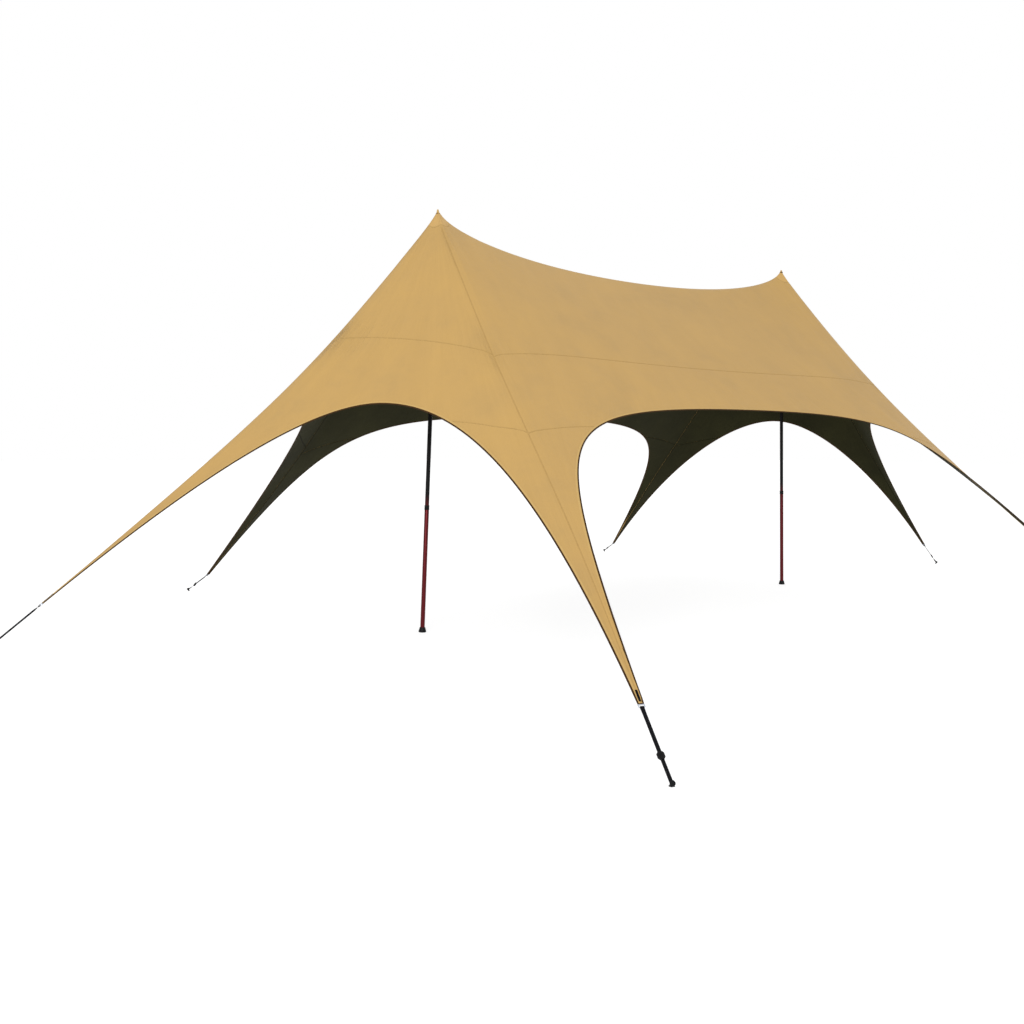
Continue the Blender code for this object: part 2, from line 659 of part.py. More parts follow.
def main():
    clear_scene()
    build_canopy()
    for label, side in (("left", -1), ("right", 1)):
        build_pole(label, side)
    for arm in ARMS:
        build_arm_end(arm)
    centre_on_origin()


main()
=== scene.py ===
"""Canopy tent, dressed: a stretched star canopy on two poles, with its seams, hems, straps and pegs.

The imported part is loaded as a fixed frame, and each operator below makes one piece or one group of like
pieces over it. Metres, +Z up, the ground at Z = 0.
"""
import json
import math

import bmesh
import bpy
import numpy as np
from bpy.props import FloatProperty, FloatVectorProperty, IntProperty, PointerProperty
from mathutils import Matrix, Vector


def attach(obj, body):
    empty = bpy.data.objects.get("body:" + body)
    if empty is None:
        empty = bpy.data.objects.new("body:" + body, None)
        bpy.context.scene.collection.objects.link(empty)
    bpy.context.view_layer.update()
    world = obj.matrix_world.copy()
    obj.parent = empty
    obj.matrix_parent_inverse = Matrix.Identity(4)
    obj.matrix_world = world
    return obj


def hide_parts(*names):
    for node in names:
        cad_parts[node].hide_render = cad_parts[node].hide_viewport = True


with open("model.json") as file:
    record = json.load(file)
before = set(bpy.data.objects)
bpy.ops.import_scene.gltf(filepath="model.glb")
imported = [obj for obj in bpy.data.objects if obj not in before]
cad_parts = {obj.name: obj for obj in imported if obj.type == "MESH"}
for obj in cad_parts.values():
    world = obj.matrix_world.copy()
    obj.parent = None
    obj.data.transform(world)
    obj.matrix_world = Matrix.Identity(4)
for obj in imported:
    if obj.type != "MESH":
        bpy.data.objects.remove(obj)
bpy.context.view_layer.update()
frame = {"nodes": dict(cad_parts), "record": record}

bl_info = {
    "name": "Canopy Tent",
    "version": (1, 0, 0),
    "blender": (4, 5, 0),
    "location": "View3D > Sidebar > Tent",
    "description": "Dresses the star canopy tent with cloth, seams, hems, poles, straps and pegs",
    "category": "Object",
}

# The tent's own measures, the same as the part's
MOUNTS = {mount["name"]: mount["pos_m"] for mount in frame["record"]["mounts"]}
LEFT_FOOT = MOUNTS["pole_foot_left_base"]
RIGHT_FOOT = MOUNTS["pole_foot_right_base"]
MIDDLE = np.array([0.5 * (LEFT_FOOT[0] + RIGHT_FOOT[0]), LEFT_FOOT[1], 0.0])
PEAK_HEIGHT = 4.0
PEAK_X = 2.513
POLE_FOOT_X = 2.692
FABRIC_DROP = 0.007
ARMS = {
    "left_end": (-1, 180.0, 3.45, 0.605, 4.18),
    "back_left": (-1, 109.5, 3.55, 0.24, 3.94),
    "front_left": (-1, -104.5, 4.01, 0.36, 4.36),
    "back_right": (1, 80.8, 3.79, 0.17, 4.08),
    "right_end": (1, 0.0, 3.50, 0.325, 3.88),
    "front_right": (1, -77.7, 3.64, 0.29, 4.16),
}
ARM_KNEE = (1.340, 2.337)
ARM_WEIGHT = 2.04
CORNER_BOW = 0.118
BOW_START = 0.14
ARM_TIP_HALF = 0.017
RIDGE_KNEE = 0.514
RIDGE_SAG_HEIGHT = 3.585
RIDGE_WEIGHT = 0.881
END_ARCHES = {-1: (1.295, 2.136, 1.0), 1: (1.211, 2.146, 0.88)}
END_ARM_MARGIN = 4.1
CORNER_ARM_MARGIN = -1.2
SIDE_ARCH_Y = 1.749
SIDE_ARCH_HEIGHT = 2.14
SIDE_ARCH_KNEE = 2.685
SIDE_ARCH_MARGIN = 0.17
SIDE_ARCH_WEIGHT = 2.292
PEAK_FLARE = 0.038
FLARE_REACH = 0.059
PEG_HEIGHT = 0.022
DOWN_PULL = 4.0

# Degrees by which a strap is twisted between its bar and its peg
TWISTS = {"left_end": 36.0, "right_end": 50.0, "back_left": -45.0, "back_right": -45.0}

# The sheet starts at a small hole round each pole's pin, and is doubled by a patch round it
CLOTH_HOLE = 0.012
PATCH_RADIUS = 0.105

# The cloth is settled on a coarse net and then drawn four times finer, closer together near the peaks
END_COLUMNS = 22
SIDE_COLUMNS = 44
CONE_COLUMNS = 6
ROWS = 15
FINER = 4
CROWDING = 1.5

# Widest rounding of the fold along an arm or the main ridge, which doesn't narrow towards a tip
CREST_WIDTH = 0.09
NO_TIP = 99.0 * PEAK_X

# Where the strips of cloth are joined: distance from the main ridge, and reach along the arms
SIDE_SEAMS = (1.275, 1.975)
END_SEAM_REACH = (1.14, 1.29)
END_SEAM_BOW = 0.05
SECOND_SEAM = 0.53


def srgb(text):
    """A linear colour from its sRGB hex value."""
    values = [int(text[k:k + 2], 16) / 255.0 for k in (1, 3, 5)]
    return tuple(v / 12.92 if v <= 0.04045 else ((v + 0.055) / 1.055) ** 2.4 for v in values)


# Curves that shape the cloth
def conic(start, knee, end, weight, steps):
    """Points of a conic arc whose end tangents meet at knee."""
    t = np.linspace(0.0, 1.0, steps + 1)[:, None]
    a = (1.0 - t) ** 2
    b = 2.0 * weight * t * (1.0 - t)
    c = t ** 2
    return (a * np.asarray(start) + b * np.asarray(knee) + c * np.asarray(end)) / (a + b + c)


def resample(points, count, crowding=1.0):
    """The same polyline in count steps of length, even or crowded towards its start."""
    steps = np.linalg.norm(np.diff(points, axis=0), axis=1)
    along = np.concatenate([[0.0], np.cumsum(steps)])
    wanted = np.linspace(0.0, 1.0, count + 1) ** crowding * along[-1]
    return np.stack([np.interp(wanted, along, points[:, k]) for k in range(points.shape[1])], axis=1)


def peak(side):
    return MIDDLE + np.array([side * PEAK_X, 0.0, PEAK_HEIGHT])


def outward(azimuth):
    angle = math.radians(azimuth)
    return np.array([math.cos(angle), math.sin(angle), 0.0])


def arm_point(arm, reach, height):
    side, azimuth = ARMS[arm][:2]
    point = peak(side) + outward(azimuth) * reach
    point[2] = height
    return point


def arm_bow(arm, reach):
    """Sideways offset of a corner arm's ridge towards the middle of the tent."""
    side, azimuth, tip_reach = ARMS[arm][:3]
    across = np.cross([0.0, 0.0, 1.0], outward(azimuth))
    if abs(across[0]) < 0.5:
        return 0.0 * across
    share = np.clip((reach - BOW_START) / (tip_reach - BOW_START), 0.0, 1.0)
    return across * math.copysign(1.0, -side * across[0]) * CORNER_BOW * 4.0 * share * (1.0 - share)


def crest_width(reach, tip_reach):
    """How wide a crest is rounded: nothing at the peak and at the tip, most in between."""
    share = np.clip(reach / tip_reach, 0.0, 1.0)
    widest = CREST_WIDTH * np.clip((1.0 - share) * 1.8, 0.0, 1.0) ** 1.5
    return np.minimum(widest, 0.2 * np.maximum(reach, 0.0))


def crest_lift(name, reach, tip_reach):
    """How far a fold is raised first, so that rounding brings its crest back to the right height."""
    if name not in FOLDS:
        return 0.0 * reach
    return np.interp(reach, *FOLDS[name]) * crest_width(reach, tip_reach) / 4.0


def crest_drop(name, reach, tip_reach, away):
    """How far rounding lowers the cloth at a distance from a fold."""
    width = np.maximum(crest_width(reach, tip_reach), 1e-6)
    bend = np.interp(reach, *FOLDS[name])
    near = (away < width) & (reach > 0.0)
    return np.where(near, bend * width / 4.0 * (1.0 - away / width) ** 2, 0.0)


def from_hole(line):
    """A line of reach and height, cut off at the rim of the hole round the pin."""
    start = np.interp(CLOTH_HOLE, line[:, 0], line[:, 1])
    return np.vstack([[CLOTH_HOLE, start], line[line[:, 0] > CLOTH_HOLE * 1.1]])


def arm_profile(arm):
    """Reach and height along an arm's ridge, from the hole to the tip."""
    reach, height = ARMS[arm][2:4]
    line = from_hole(conic((0.0, PEAK_HEIGHT - PEAK_FLARE), ARM_KNEE, (reach, height), ARM_WEIGHT, 400))
    line[:, 1] += crest_lift(arm, line[:, 0], reach)
    return line


def arm_ridge(arm, rows):
    line = resample(arm_profile(arm), rows, CROWDING)
    return np.array([arm_point(arm, reach, height) + arm_bow(arm, reach) for reach, height in line])


def main_ridge_profile():
    """Distance from the peak and height along half of the main ridge."""
    start, knee = (0.0, PEAK_HEIGHT - PEAK_FLARE), (RIDGE_KNEE, RIDGE_SAG_HEIGHT)
    half = from_hole(conic(start, knee, (PEAK_X, RIDGE_SAG_HEIGHT), RIDGE_WEIGHT, 400))
    half[:, 1] += crest_lift("main", half[:, 0], NO_TIP)
    return half


def main_ridge(columns):
    half = main_ridge_profile()
    left = np.stack([half[:, 0] - PEAK_X, 0.0 * half[:, 0], half[:, 1]], axis=1)
    whole = np.vstack([left, left[::-1][1:] * [-1.0, 1.0, 1.0]])
    return resample(whole, columns) + MIDDLE


def rim_stations(side):
    """Azimuths round one peak, in degrees, where the height of the hole's rim is known."""
    stations = []
    for arm, (arm_side, azimuth, *_rest) in ARMS.items():
        if arm_side == side:
            stations.append((azimuth % 360.0, arm_profile(arm)[0][1]))
    stations.append(((0.0 if side < 0 else 180.0), main_ridge_profile()[0][1]))
    return sorted(stations)


def rim_point(side, azimuth):
    """A point of the rim of the hole at a peak, its height eased between the ridges."""
    stations = rim_stations(side)
    stations = stations + [(stations[0][0] + 360.0, stations[0][1])]
    turn = azimuth % 360.0
    if turn < stations[0][0]:
        turn += 360.0
    height = stations[-1][1]
    for (from_turn, from_height), (to_turn, to_height) in zip(stations, stations[1:]):
        if from_turn <= turn <= to_turn:
            share = (turn - from_turn) / (to_turn - from_turn)
            share = 0.5 - 0.5 * math.cos(math.pi * share)
            height = from_height + (to_height - from_height) * share
    point = peak(side) + outward(azimuth) * CLOTH_HOLE
    point[2] = height
    return point


def tip_corner(arm, towards):
    """The corner of an arm's tip that faces the next arm."""
    reach, height = ARMS[arm][2:4]
    tip = arm_point(arm, reach, height)
    across = np.cross([0.0, 0.0, 1.0], outward(ARMS[arm][1]))
    side = math.copysign(1.0, float(np.dot(across, towards - tip)))
    return tip + across * side * ARM_TIP_HALF


def arch(first, last, top, along, knees, weight, columns):
    """The arched hem from one arm's tip over the top to the next arm's tip, its steps shorter at the tips."""
    rise = conic(tip_corner(first, top), top - along * knees[0], top, weight, 300)
    fall = conic(tip_corner(last, top), top + along * knees[1], top, weight, 300)[::-1]
    first_tip = arm_point(first, *ARMS[first][2:4])
    last_tip = arm_point(last, *ARMS[last][2:4])
    hem = np.vstack([first_tip, rise, fall[1:], last_tip])
    steps = np.linalg.norm(np.diff(hem, axis=0), axis=1)
    length = np.concatenate([[0.0], np.cumsum(steps)])
    number = np.arange(columns)
    ease = np.exp(-number / 2.0) + np.exp(-(columns - 1 - number) / 2.0)
    even = ARM_TIP_HALF / length[-1]
    share = (1.0 - even * columns) / (ease[0] - even * ease.sum())
    wanted = np.concatenate([[0.0], np.cumsum(1.0 - share * ease)])
    wanted *= length[-1] / wanted[-1]
    return np.stack([np.interp(wanted, length, hem[:, k]) for k in range(3)], axis=1)


def coons(top, bottom, first, last):
    """The plain surface blended from four edges."""
    u = np.linspace(0.0, 1.0, len(top))[None, :, None]
    v = np.linspace(0.0, 1.0, len(first))[:, None, None] ** CROWDING
    across = (1.0 - v) * top[None] + v * bottom[None]
    down = (1.0 - u) * first[:, None] + u * last[:, None]
    corners = (1.0 - v) * ((1.0 - u) * top[0] + u * top[-1]) + v * ((1.0 - u) * bottom[0] + u * bottom[-1])
    return across + down - corners


def bow_of(edge):
    """How far an edge lies off the straight line between its ends, seen from above."""
    chord = edge[-1, :2] - edge[0, :2]
    share = (edge[:, :2] - edge[0, :2]) @ chord / (chord @ chord)
    bow = np.zeros_like(edge)
    bow[:, :2] = edge[:, :2] - edge[0, :2] - share[:, None] * chord
    return bow


def relax(top, bottom, first, last):
    """Let a net settle between its four edges: each knot is pulled level with its four neighbours."""
    rows, columns = len(first) - 1, len(top) - 1
    grid = np.zeros((rows + 1, columns + 1, 3))
    bows = bow_of(first)[:, None], bow_of(last)[:, None]
    grid[0], grid[-1], grid[:, 0], grid[:, -1] = top, bottom, first - bows[0][:, 0], last - bows[1][:, 0]
    count = (rows - 1) * (columns - 1)
    pull = np.zeros((count, count))
    load = np.zeros((count, 3))
    steps = np.diff(np.linspace(0.0, 1.0, rows + 1) ** CROWDING) * rows
    for row in range(1, rows):
        level = 0.5 * (steps[row - 1] + steps[row])
        above, below = DOWN_PULL / steps[row - 1], DOWN_PULL / steps[row]
        pulls = ((-1, 0, above), (1, 0, below), (0, -1, level), (0, 1, level))
        for column in range(1, columns):
            knot = (row - 1) * (columns - 1) + column - 1
            for step_row, step_column, force in pulls:
                near_row, near_column = row + step_row, column + step_column
                pull[knot, knot] += force
                if 0 < near_row < rows and 0 < near_column < columns:
                    pull[knot, (near_row - 1) * (columns - 1) + near_column - 1] -= force
                else:
                    load[knot] += force * grid[near_row, near_column]
    grid[1:-1, 1:-1] = np.linalg.solve(pull, load).reshape(rows - 1, columns - 1, 3)
    across = np.linspace(0.0, 1.0, columns + 1)[None, :, None]
    return grid + (1.0 - across) * bows[0] + across * bows[1]


def cell_corners(values):
    return np.stack([values[:-1, :-1], values[:-1, 1:], values[1:, 1:], values[1:, :-1]], axis=2)


def cell_pulls(plan):
    """How the four corners of each cell of a stretched film pull on each other's heights."""
    corners = cell_corners(plan)
    pulls = np.zeros(corners.shape[:2] + (4, 4))
    for skip in range(4):
        triangle = np.delete(np.arange(4), skip)
        place = corners[:, :, triangle]
        sides = np.roll(place, -2, axis=2) - np.roll(place, -1, axis=2)
        area = 0.5 * np.abs(sides[:, :, 0, 0] * sides[:, :, 1, 1] - sides[:, :, 0, 1] * sides[:, :, 1, 0])
        area = np.maximum(area, 1e-8)[:, :, None, None]
        slopes = np.stack([-sides[..., 1], sides[..., 0]], axis=-1) / (2.0 * area)
        pulls[:, :, triangle[:, None], triangle] += 0.5 * area * slopes @ slopes.swapaxes(-1, -2)
    return pulls


def pulled(pulls, heights):
    """The pull on every knot inside the edges."""
    force = np.einsum("rcij,rcj->rci", pulls, cell_corners(heights))
    total = np.zeros_like(heights)
    total[:-1, :-1] += force[:, :, 0]
    total[:-1, 1:] += force[:, :, 1]
    total[1:, 1:] += force[:, :, 2]
    total[1:, :-1] += force[:, :, 3]
    total[0] = total[-1] = 0.0
    total[:, 0] = total[:, -1] = 0.0
    return total


def settle_heights(grid):
    """Keep the net's plan and give it the heights of a film stretched evenly between its edges."""
    pulls = cell_pulls(grid[:, :, :2])
    stiffness = np.ones(grid.shape[:2])
    for corner, place in enumerate(((0, 0), (0, 1), (1, 1), (1, 0))):
        rows = slice(place[0], grid.shape[0] - 1 + place[0])
        columns = slice(place[1], grid.shape[1] - 1 + place[1])
        stiffness[rows, columns] += pulls[:, :, corner, corner]
    heights = grid[:, :, 2].copy()
    left = -pulled(pulls, heights)
    step = left / stiffness
    heading = step.copy()
    size = float((left * step).sum())
    for _ in range(1500):
        response = pulled(pulls, heading)
        length = size / max(float((heading * response).sum()), 1e-30)
        heights += length * heading
        left -= length * response
        step = left / stiffness
        following = float((left * step).sum())
        if following < 1e-14:
            break
        heading = step + following / size * heading
        size = following
    grid[:, :, 2] = heights
    return grid


def finer_along(values, times):
    """Cubic interpolation of rows of values, times points for each step."""
    padded = np.concatenate([2.0 * values[:1] - values[1:2], values, 2.0 * values[-1:] - values[-2:-1]])
    count = (len(values) - 1) * times
    result = np.zeros((count + 1,) + values.shape[1:])
    for k in range(count + 1):
        step = min(k // times, len(values) - 2)
        t = k / times - step
        a, b, c, d = padded[step], padded[step + 1], padded[step + 2], padded[step + 3]
        bend = 2.0 * a - 5.0 * b + 4.0 * c - d + t * (3.0 * (b - c) + d - a)
        result[k] = b + 0.5 * t * (c - a + t * bend)
    return result


def drape(top, bottom, first, last):
    """Settle the coarse net inside four fine edges, then draw the surface as fine as the edges."""
    coarse_edges = [edge[::FINER] for edge in (top, bottom, first, last)]
    extra = relax(*coarse_edges) - coons(*coarse_edges)
    extra = finer_along(extra, FINER)
    extra = finer_along(extra.transpose(1, 0, 2), FINER).transpose(1, 0, 2)
    return settle_heights(coons(top, bottom, first, last) + extra)


def short_way(start, end):
    return start + (end - start + 180.0) % 360.0 - 180.0


def arc_azimuths(start, end, columns):
    return [start + (end - start) * k / columns for k in range(columns + 1)]


def arc_of_rim(side, start, end, columns):
    return np.array([rim_point(side, azimuth) for azimuth in arc_azimuths(start, end, columns)])


def distance_in_plan(points, line):
    """Distance seen from above of each point from a polyline."""
    best = np.full(len(points), 1e9)
    for start, end in zip(line[:-1, :2], line[1:, :2]):
        span = end - start
        share = np.clip(((points[:, :2] - start) @ span) / max(float(span @ span), 1e-12), 0.0, 1.0)
        best = np.minimum(best, np.linalg.norm(points[:, :2] - start - share[:, None] * span, axis=1))
    return best


def round_crests(grid):
    """Ease the fold along every ridge into a rounded crest, and draw the cloth up to a point at the peaks."""
    points = grid.reshape(-1, 3)
    drop = np.zeros(len(points))
    rise = np.zeros(len(points))
    for arm, (side, azimuth, tip_reach, *_rest) in ARMS.items():
        reach = (points - peak(side)) @ outward(azimuth)
        drop += crest_drop(arm, reach, tip_reach, distance_in_plan(points, arm_ridge(arm, 120)))
    reach = PEAK_X - np.abs(points[:, 0] - MIDDLE[0])
    drop += crest_drop("main", reach, NO_TIP, np.abs(points[:, 1] - MIDDLE[1]))
    for side in (-1, 1):
        rise += PEAK_FLARE * np.exp(-np.linalg.norm((points - peak(side))[:, :2], axis=1) / FLARE_REACH)
    points[:, 2] += rise - drop
    return points.reshape(grid.shape)


def end_panel(first, last):
    """The panel between an end arm and a corner arm, as rows of points from the peak to the hem."""
    side, start = ARMS[first][:2]
    end = short_way(start, ARMS[last][1])
    middle = 0.5 * (start + end)
    arch_reach, arch_height, weight = END_ARCHES[side]
    top = peak(side) + outward(middle) * arch_reach
    top[2] = arch_height
    along = np.cross([0.0, 0.0, 1.0], outward(middle)) * math.copysign(1.0, end - start)
    margins = (END_ARM_MARGIN, CORNER_ARM_MARGIN)
    knees = [arch_reach * math.tan(math.radians(abs(end - start) / 2.0 - margin)) for margin in margins]
    columns, rows = END_COLUMNS * FINER, ROWS * FINER
    hem = arch(first, last, top, along, knees, weight, columns)
    rim = arc_of_rim(side, start, end, columns)
    return drape(rim, hem, arm_ridge(first, rows), arm_ridge(last, rows))


def side_knee(arm):
    """Distance from the middle to a side arch's knee, kept short of the arm's ridge."""
    ridge = np.abs(arm_ridge(arm, 80) - MIDDLE)
    return min(SIDE_ARCH_KNEE, np.interp(SIDE_ARCH_Y, ridge[:, 1], ridge[:, 0]) - SIDE_ARCH_MARGIN)


def side_panel(first, last, facing):
    """The long panel under the main ridge, from the left corner arm to the right one."""
    top = MIDDLE + np.array([0.0, facing * SIDE_ARCH_Y, SIDE_ARCH_HEIGHT])
    along = np.array([1.0, 0.0, 0.0])
    columns, cone_columns, rows = SIDE_COLUMNS * FINER, CONE_COLUMNS * FINER, ROWS * FINER
    hem = arch(first, last, top, along, (side_knee(first), side_knee(last)), SIDE_ARCH_WEIGHT, columns)
    left = arc_of_rim(-1, ARMS[first][1], 0.0, cone_columns)
    right = arc_of_rim(1, facing * 180.0, ARMS[last][1], cone_columns)
    ridge = main_ridge(columns - 2 * cone_columns)
    upper = np.vstack([left[:-1], ridge, right[1:]])
    return drape(upper, hem, arm_ridge(first, rows), arm_ridge(last, rows))


PANEL_ARMS = {
    "left_front": ("left_end", "front_left", -1),
    "left_back": ("left_end", "back_left", -1),
    "right_front": ("right_end", "front_right", 1),
    "right_back": ("right_end", "back_right", 1),
    "front": ("front_left", "front_right", 0),
    "back": ("back_left", "back_right", 0),
}


def all_panels():
    """Every panel's points, its arms and its peak's side, 0 for a long side."""
    panels = {}
    for name, (first, last, side) in PANEL_ARMS.items():
        if side == 0:
            grid = side_panel(first, last, int(math.copysign(1, ARMS[first][1])))
        else:
            grid = end_panel(first, last)
        panels[name] = (grid, (first, last), side)
    return panels


def slope_away(edge, inner):
    """How steeply the cloth falls away square to an edge, seen from above."""
    along = np.gradient(edge, axis=0)
    length = np.linalg.norm(along[:, :2], axis=1)
    heading = along[:, :2] / length[:, None]
    step = inner - edge
    forward = (step[:, :2] * heading).sum(axis=1)
    sideways = np.linalg.norm(step[:, :2] - forward[:, None] * heading, axis=1)
    return -(step[:, 2] - forward * along[:, 2] / length) / np.maximum(sideways, 1e-6)


def measure_folds(panels):
    """How sharply the cloth folds along each arm and the main ridge, by reach."""
    found = {}
    for grid, arms, side in panels.values():
        for arm, edge, inner in ((arms[0], grid[:, 0], grid[:, 1]), (arms[1], grid[:, -1], grid[:, -2])):
            reach = (edge - peak(ARMS[arm][0])) @ outward(ARMS[arm][1])
            found.setdefault(arm, []).append((reach, slope_away(edge, inner)))
        if side == 0:
            cone, half = CONE_COLUMNS * FINER, SIDE_COLUMNS * FINER // 2
            edge, inner = grid[0, cone:half + 1], grid[1, cone:half + 1]
            reach = PEAK_X - np.abs(edge[:, 0] - MIDDLE[0])
            found.setdefault("main", []).append((reach, slope_away(edge, inner)))
    folds = {}
    for name, sides in found.items():
        total = np.clip(sides[0][1] + sides[1][1], -1.0, 3.5)
        padded = np.concatenate([total[:1]] * 3 + [total] + [total[-1:]] * 3)
        folds[name] = (sides[0][0], np.convolve(padded, np.ones(7) / 7.0, mode="valid"))
    return folds


FOLDS = {}
FOLDS.update(measure_folds(all_panels()))
PANELS = {name: (round_crests(grid), arms, side) for name, (grid, arms, side) in all_panels().items()}


# Help with Blender's tools
def clear_selection():
    if bpy.context.object and bpy.context.object.mode != "OBJECT":
        bpy.ops.object.mode_set(mode="OBJECT")
    bpy.ops.object.select_all(action="DESELECT")


def only(obj):
    """Make one object the selected and active one."""
    clear_selection()
    obj.select_set(True)
    bpy.context.view_layer.objects.active = obj


def faces_where(obj, test):
    """In edit mode, select the faces whose centre and normal pass the test."""
    bpy.ops.mesh.select_mode(type="FACE")
    bpy.ops.mesh.select_all(action="DESELECT")
    bm = bmesh.from_edit_mesh(obj.data)
    for face in bm.faces:
        face.select_set(bool(test(face.calc_center_median(), face.normal)))
    bm.select_flush_mode()
    bmesh.update_edit_mesh(obj.data)


def edit(obj):
    only(obj)
    bpy.ops.object.mode_set(mode="EDIT")


def leave_edit():
    bpy.ops.object.mode_set(mode="OBJECT")


def apply_modifiers(obj):
    only(obj)
    for modifier in list(obj.modifiers):
        bpy.ops.object.modifier_apply(modifier=modifier.name)


def smooth(obj, angle=40.0):
    only(obj)
    bpy.ops.object.shade_smooth_by_angle(angle=math.radians(angle))


def copy_of(obj, name):
    twin = obj.copy()
    twin.data = obj.data.copy()
    twin.name = name
    bpy.context.scene.collection.objects.link(twin)
    return twin


def dress(obj, name, material, nodes=()):
    """Name a finished piece, give it its finish and let it ride on the tent."""
    obj.name = name
    obj.data.name = name
    if material is not None:
        obj.data.materials.clear()
        obj.data.materials.append(material)
    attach(obj, "root")
    if nodes:
        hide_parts(*nodes)
    return obj


# Materials
def new_material(name):
    material = bpy.data.materials.get(name)
    if material is None:
        material = bpy.data.materials.new(name)
        material.use_nodes = True
        return material, True
    return material, False


def add_node(tree, kind, settings=None, **links):
    """Add a node, set its values by socket name or attribute, and link its inputs."""
    node = tree.nodes.new(kind)
    for key, value in (settings or {}).items():
        if isinstance(key, int) or key in node.inputs:
            node.inputs[key].default_value = value
        else:
            setattr(node, key, value)
    for key, source in links.items():
        socket = key.replace("_", " ")
        if socket.isdigit() or (socket[0] == "n" and socket[1:].isdigit()):
            target = node.inputs[int(socket.lstrip("n"))]
        else:
            target = node.inputs[socket]
        tree.links.new(source, target)
    return node


def shader_of(material):
    return material.node_tree.nodes["Principled BSDF"]


def ramp(node, stops):
    elements = node.color_ramp.elements
    while len(elements) > 1:
        elements.remove(elements[-1])
    elements[0].position, elements[0].color = stops[0][0], (*stops[0][1], 1.0)
    for position, colour in stops[1:]:
        element = elements.new(position)
        element.color = (*colour, 1.0)
    return node


def noise(tree, place, scale, detail, roughness=0.5, distortion=0.0):
    """Cloudy noise: its value from 0 to 1."""
    settings = {"Scale": scale, "Detail": detail, "Roughness": roughness, "Distortion": distortion}
    return add_node(tree, "ShaderNodeTexNoise", settings, Vector=place).outputs["Fac"]


def waves(tree, place, across, scale, distortion):
    """Threads or ribs: their height from 0 to 1."""
    settings = {"Scale": scale, "Distortion": distortion, "Detail": 1.0, "bands_direction": across}
    return add_node(tree, "ShaderNodeTexWave", settings, Vector=place).outputs["Fac"]


def math_of(tree, operation, first, second=None, third=None):
    """A sum of two or three values, each a number or another node's output."""
    settings, links = {"operation": operation}, {"n0": first}
    for number, value in ((1, second), (2, third)):
        if isinstance(value, float):
            settings[number] = value
        elif value is not None:
            links[f"n{number}"] = value
    return add_node(tree, "ShaderNodeMath", settings, **links).outputs[0]


def shades_of(tree, factor, stops):
    """A colour picked along a row of stops."""
    return ramp(add_node(tree, "ShaderNodeValToRGB", None, Fac=factor), stops).outputs["Color"]


def tint_of(name, share=1.0):
    return tuple(min(1.0, share * value) for value in getattr(bpy.context.scene.tent_colours, name))


def multiplied(tree, colour, factor=None):
    """A colour times another input, by a whole or a given share."""
    node = add_node(tree, "ShaderNodeMix", {"data_type": "RGBA", "blend_type": "MULTIPLY", 0: 1.0}, n6=colour)
    if factor is not None:
        tree.links.new(factor, node.inputs[0])
    return node


def relief_of(tree, strength, distance, height, **over):
    """The surface direction of a relief, laid over another if one is given."""
    settings = {"Strength": strength, "Distance": distance}
    return add_node(tree, "ShaderNodeBump", settings, Height=height, **over).outputs["Normal"]


def finish(material, colour, relief, roughness, metallic=0.0, shine=0.5):
    """Link a material's colour and relief and set how it shines."""
    shader = shader_of(material)
    material.node_tree.links.new(colour, shader.inputs["Base Color"])
    material.node_tree.links.new(relief, shader.inputs["Normal"])
    for socket, value in (("Roughness", roughness), ("Metallic", metallic), ("Specular IOR Level", shine)):
        shader.inputs[socket].default_value = value
    return material


def canopy_cloth():
    """Coated polyester canvas: woven, then coated, so it is matt with a faint sheen and a cloudy tone."""
    material, fresh = new_material("coated polyester canvas, tan")
    if not fresh:
        return material
    tree = material.node_tree
    red, green, blue = tint_of("cloth")
    place = add_node(tree, "ShaderNodeTexCoord").outputs["Object"]
    # The coating's clouds are about 450 mm and 90 mm across
    clouds, specks = noise(tree, place, 2.2, 3.0), noise(tree, place, 11.0, 4.0, 0.65)
    shades = shades_of(tree, math_of(tree, "MULTIPLY_ADD", specks, 0.45, clouds), [
        (0.50, (0.955 * red, 0.965 * green, blue)), (0.68, (red, green, blue)),
        (0.92, (1.035 * red, 1.03 * green, 0.99 * blue))])
    puckers, relief = pucker_relief(tree)
    # Painted light and shade: the cloth's colour is made lighter on the crests of its puckers, pleats and
    # creases and darker between them, over their relief
    span = {"From Min": -1.0, "From Max": 1.0, "To Min": 0.90, "To Max": 1.08}
    light = add_node(tree, "ShaderNodeMapRange", span, Value=puckers)
    cloth_with_painted_shade = multiplied(tree, shades)
    tree.links.new(light.outputs[0], cloth_with_painted_shade.inputs[7])
    # The doubled patch round each peak looks a little paler
    patch = add_node(tree, "ShaderNodeAttribute", {"attribute_name": "patch"})
    paler = multiplied(tree, cloth_with_painted_shade.outputs[2], patch.outputs["Fac"])
    paler.inputs[7].default_value = (1.13, 1.13, 1.16, 1.0)
    finish(material, paler.outputs[2], weave_relief(tree, relief), 0.68, shine=0.22)
    shader = shader_of(material)
    shader.inputs["Sheen Weight"].default_value = 0.07
    shader.inputs["Sheen Roughness"].default_value = 0.4
    shader.inputs["Sheen Tint"].default_value = (0.85, 0.92, 1.0, 1.0)
    return material


# Each kind of crease: where it is drawn, how dense it is round the hem and down the fall, its turn, its noise
CREASES = (
    # Puckers stand about 45 mm apart and run about 350 mm down the cloth
    ("pucker", (22.0, 2.6, 1.0), 0.0, (1.0, 2.0, 0.5, 0.2)),
    # Pleats fan out from a peak, some 30 to a quarter turn
    ("pleat", (6.5, 0.7, 1.0), 0.0, (1.0, 3.0, 0.6)),
    # Soft creases about 250 mm wide lie all over
    ("crease", (3.2, 1.1, 1.0), 0.5, (1.0, 2.0, 0.5)),
)


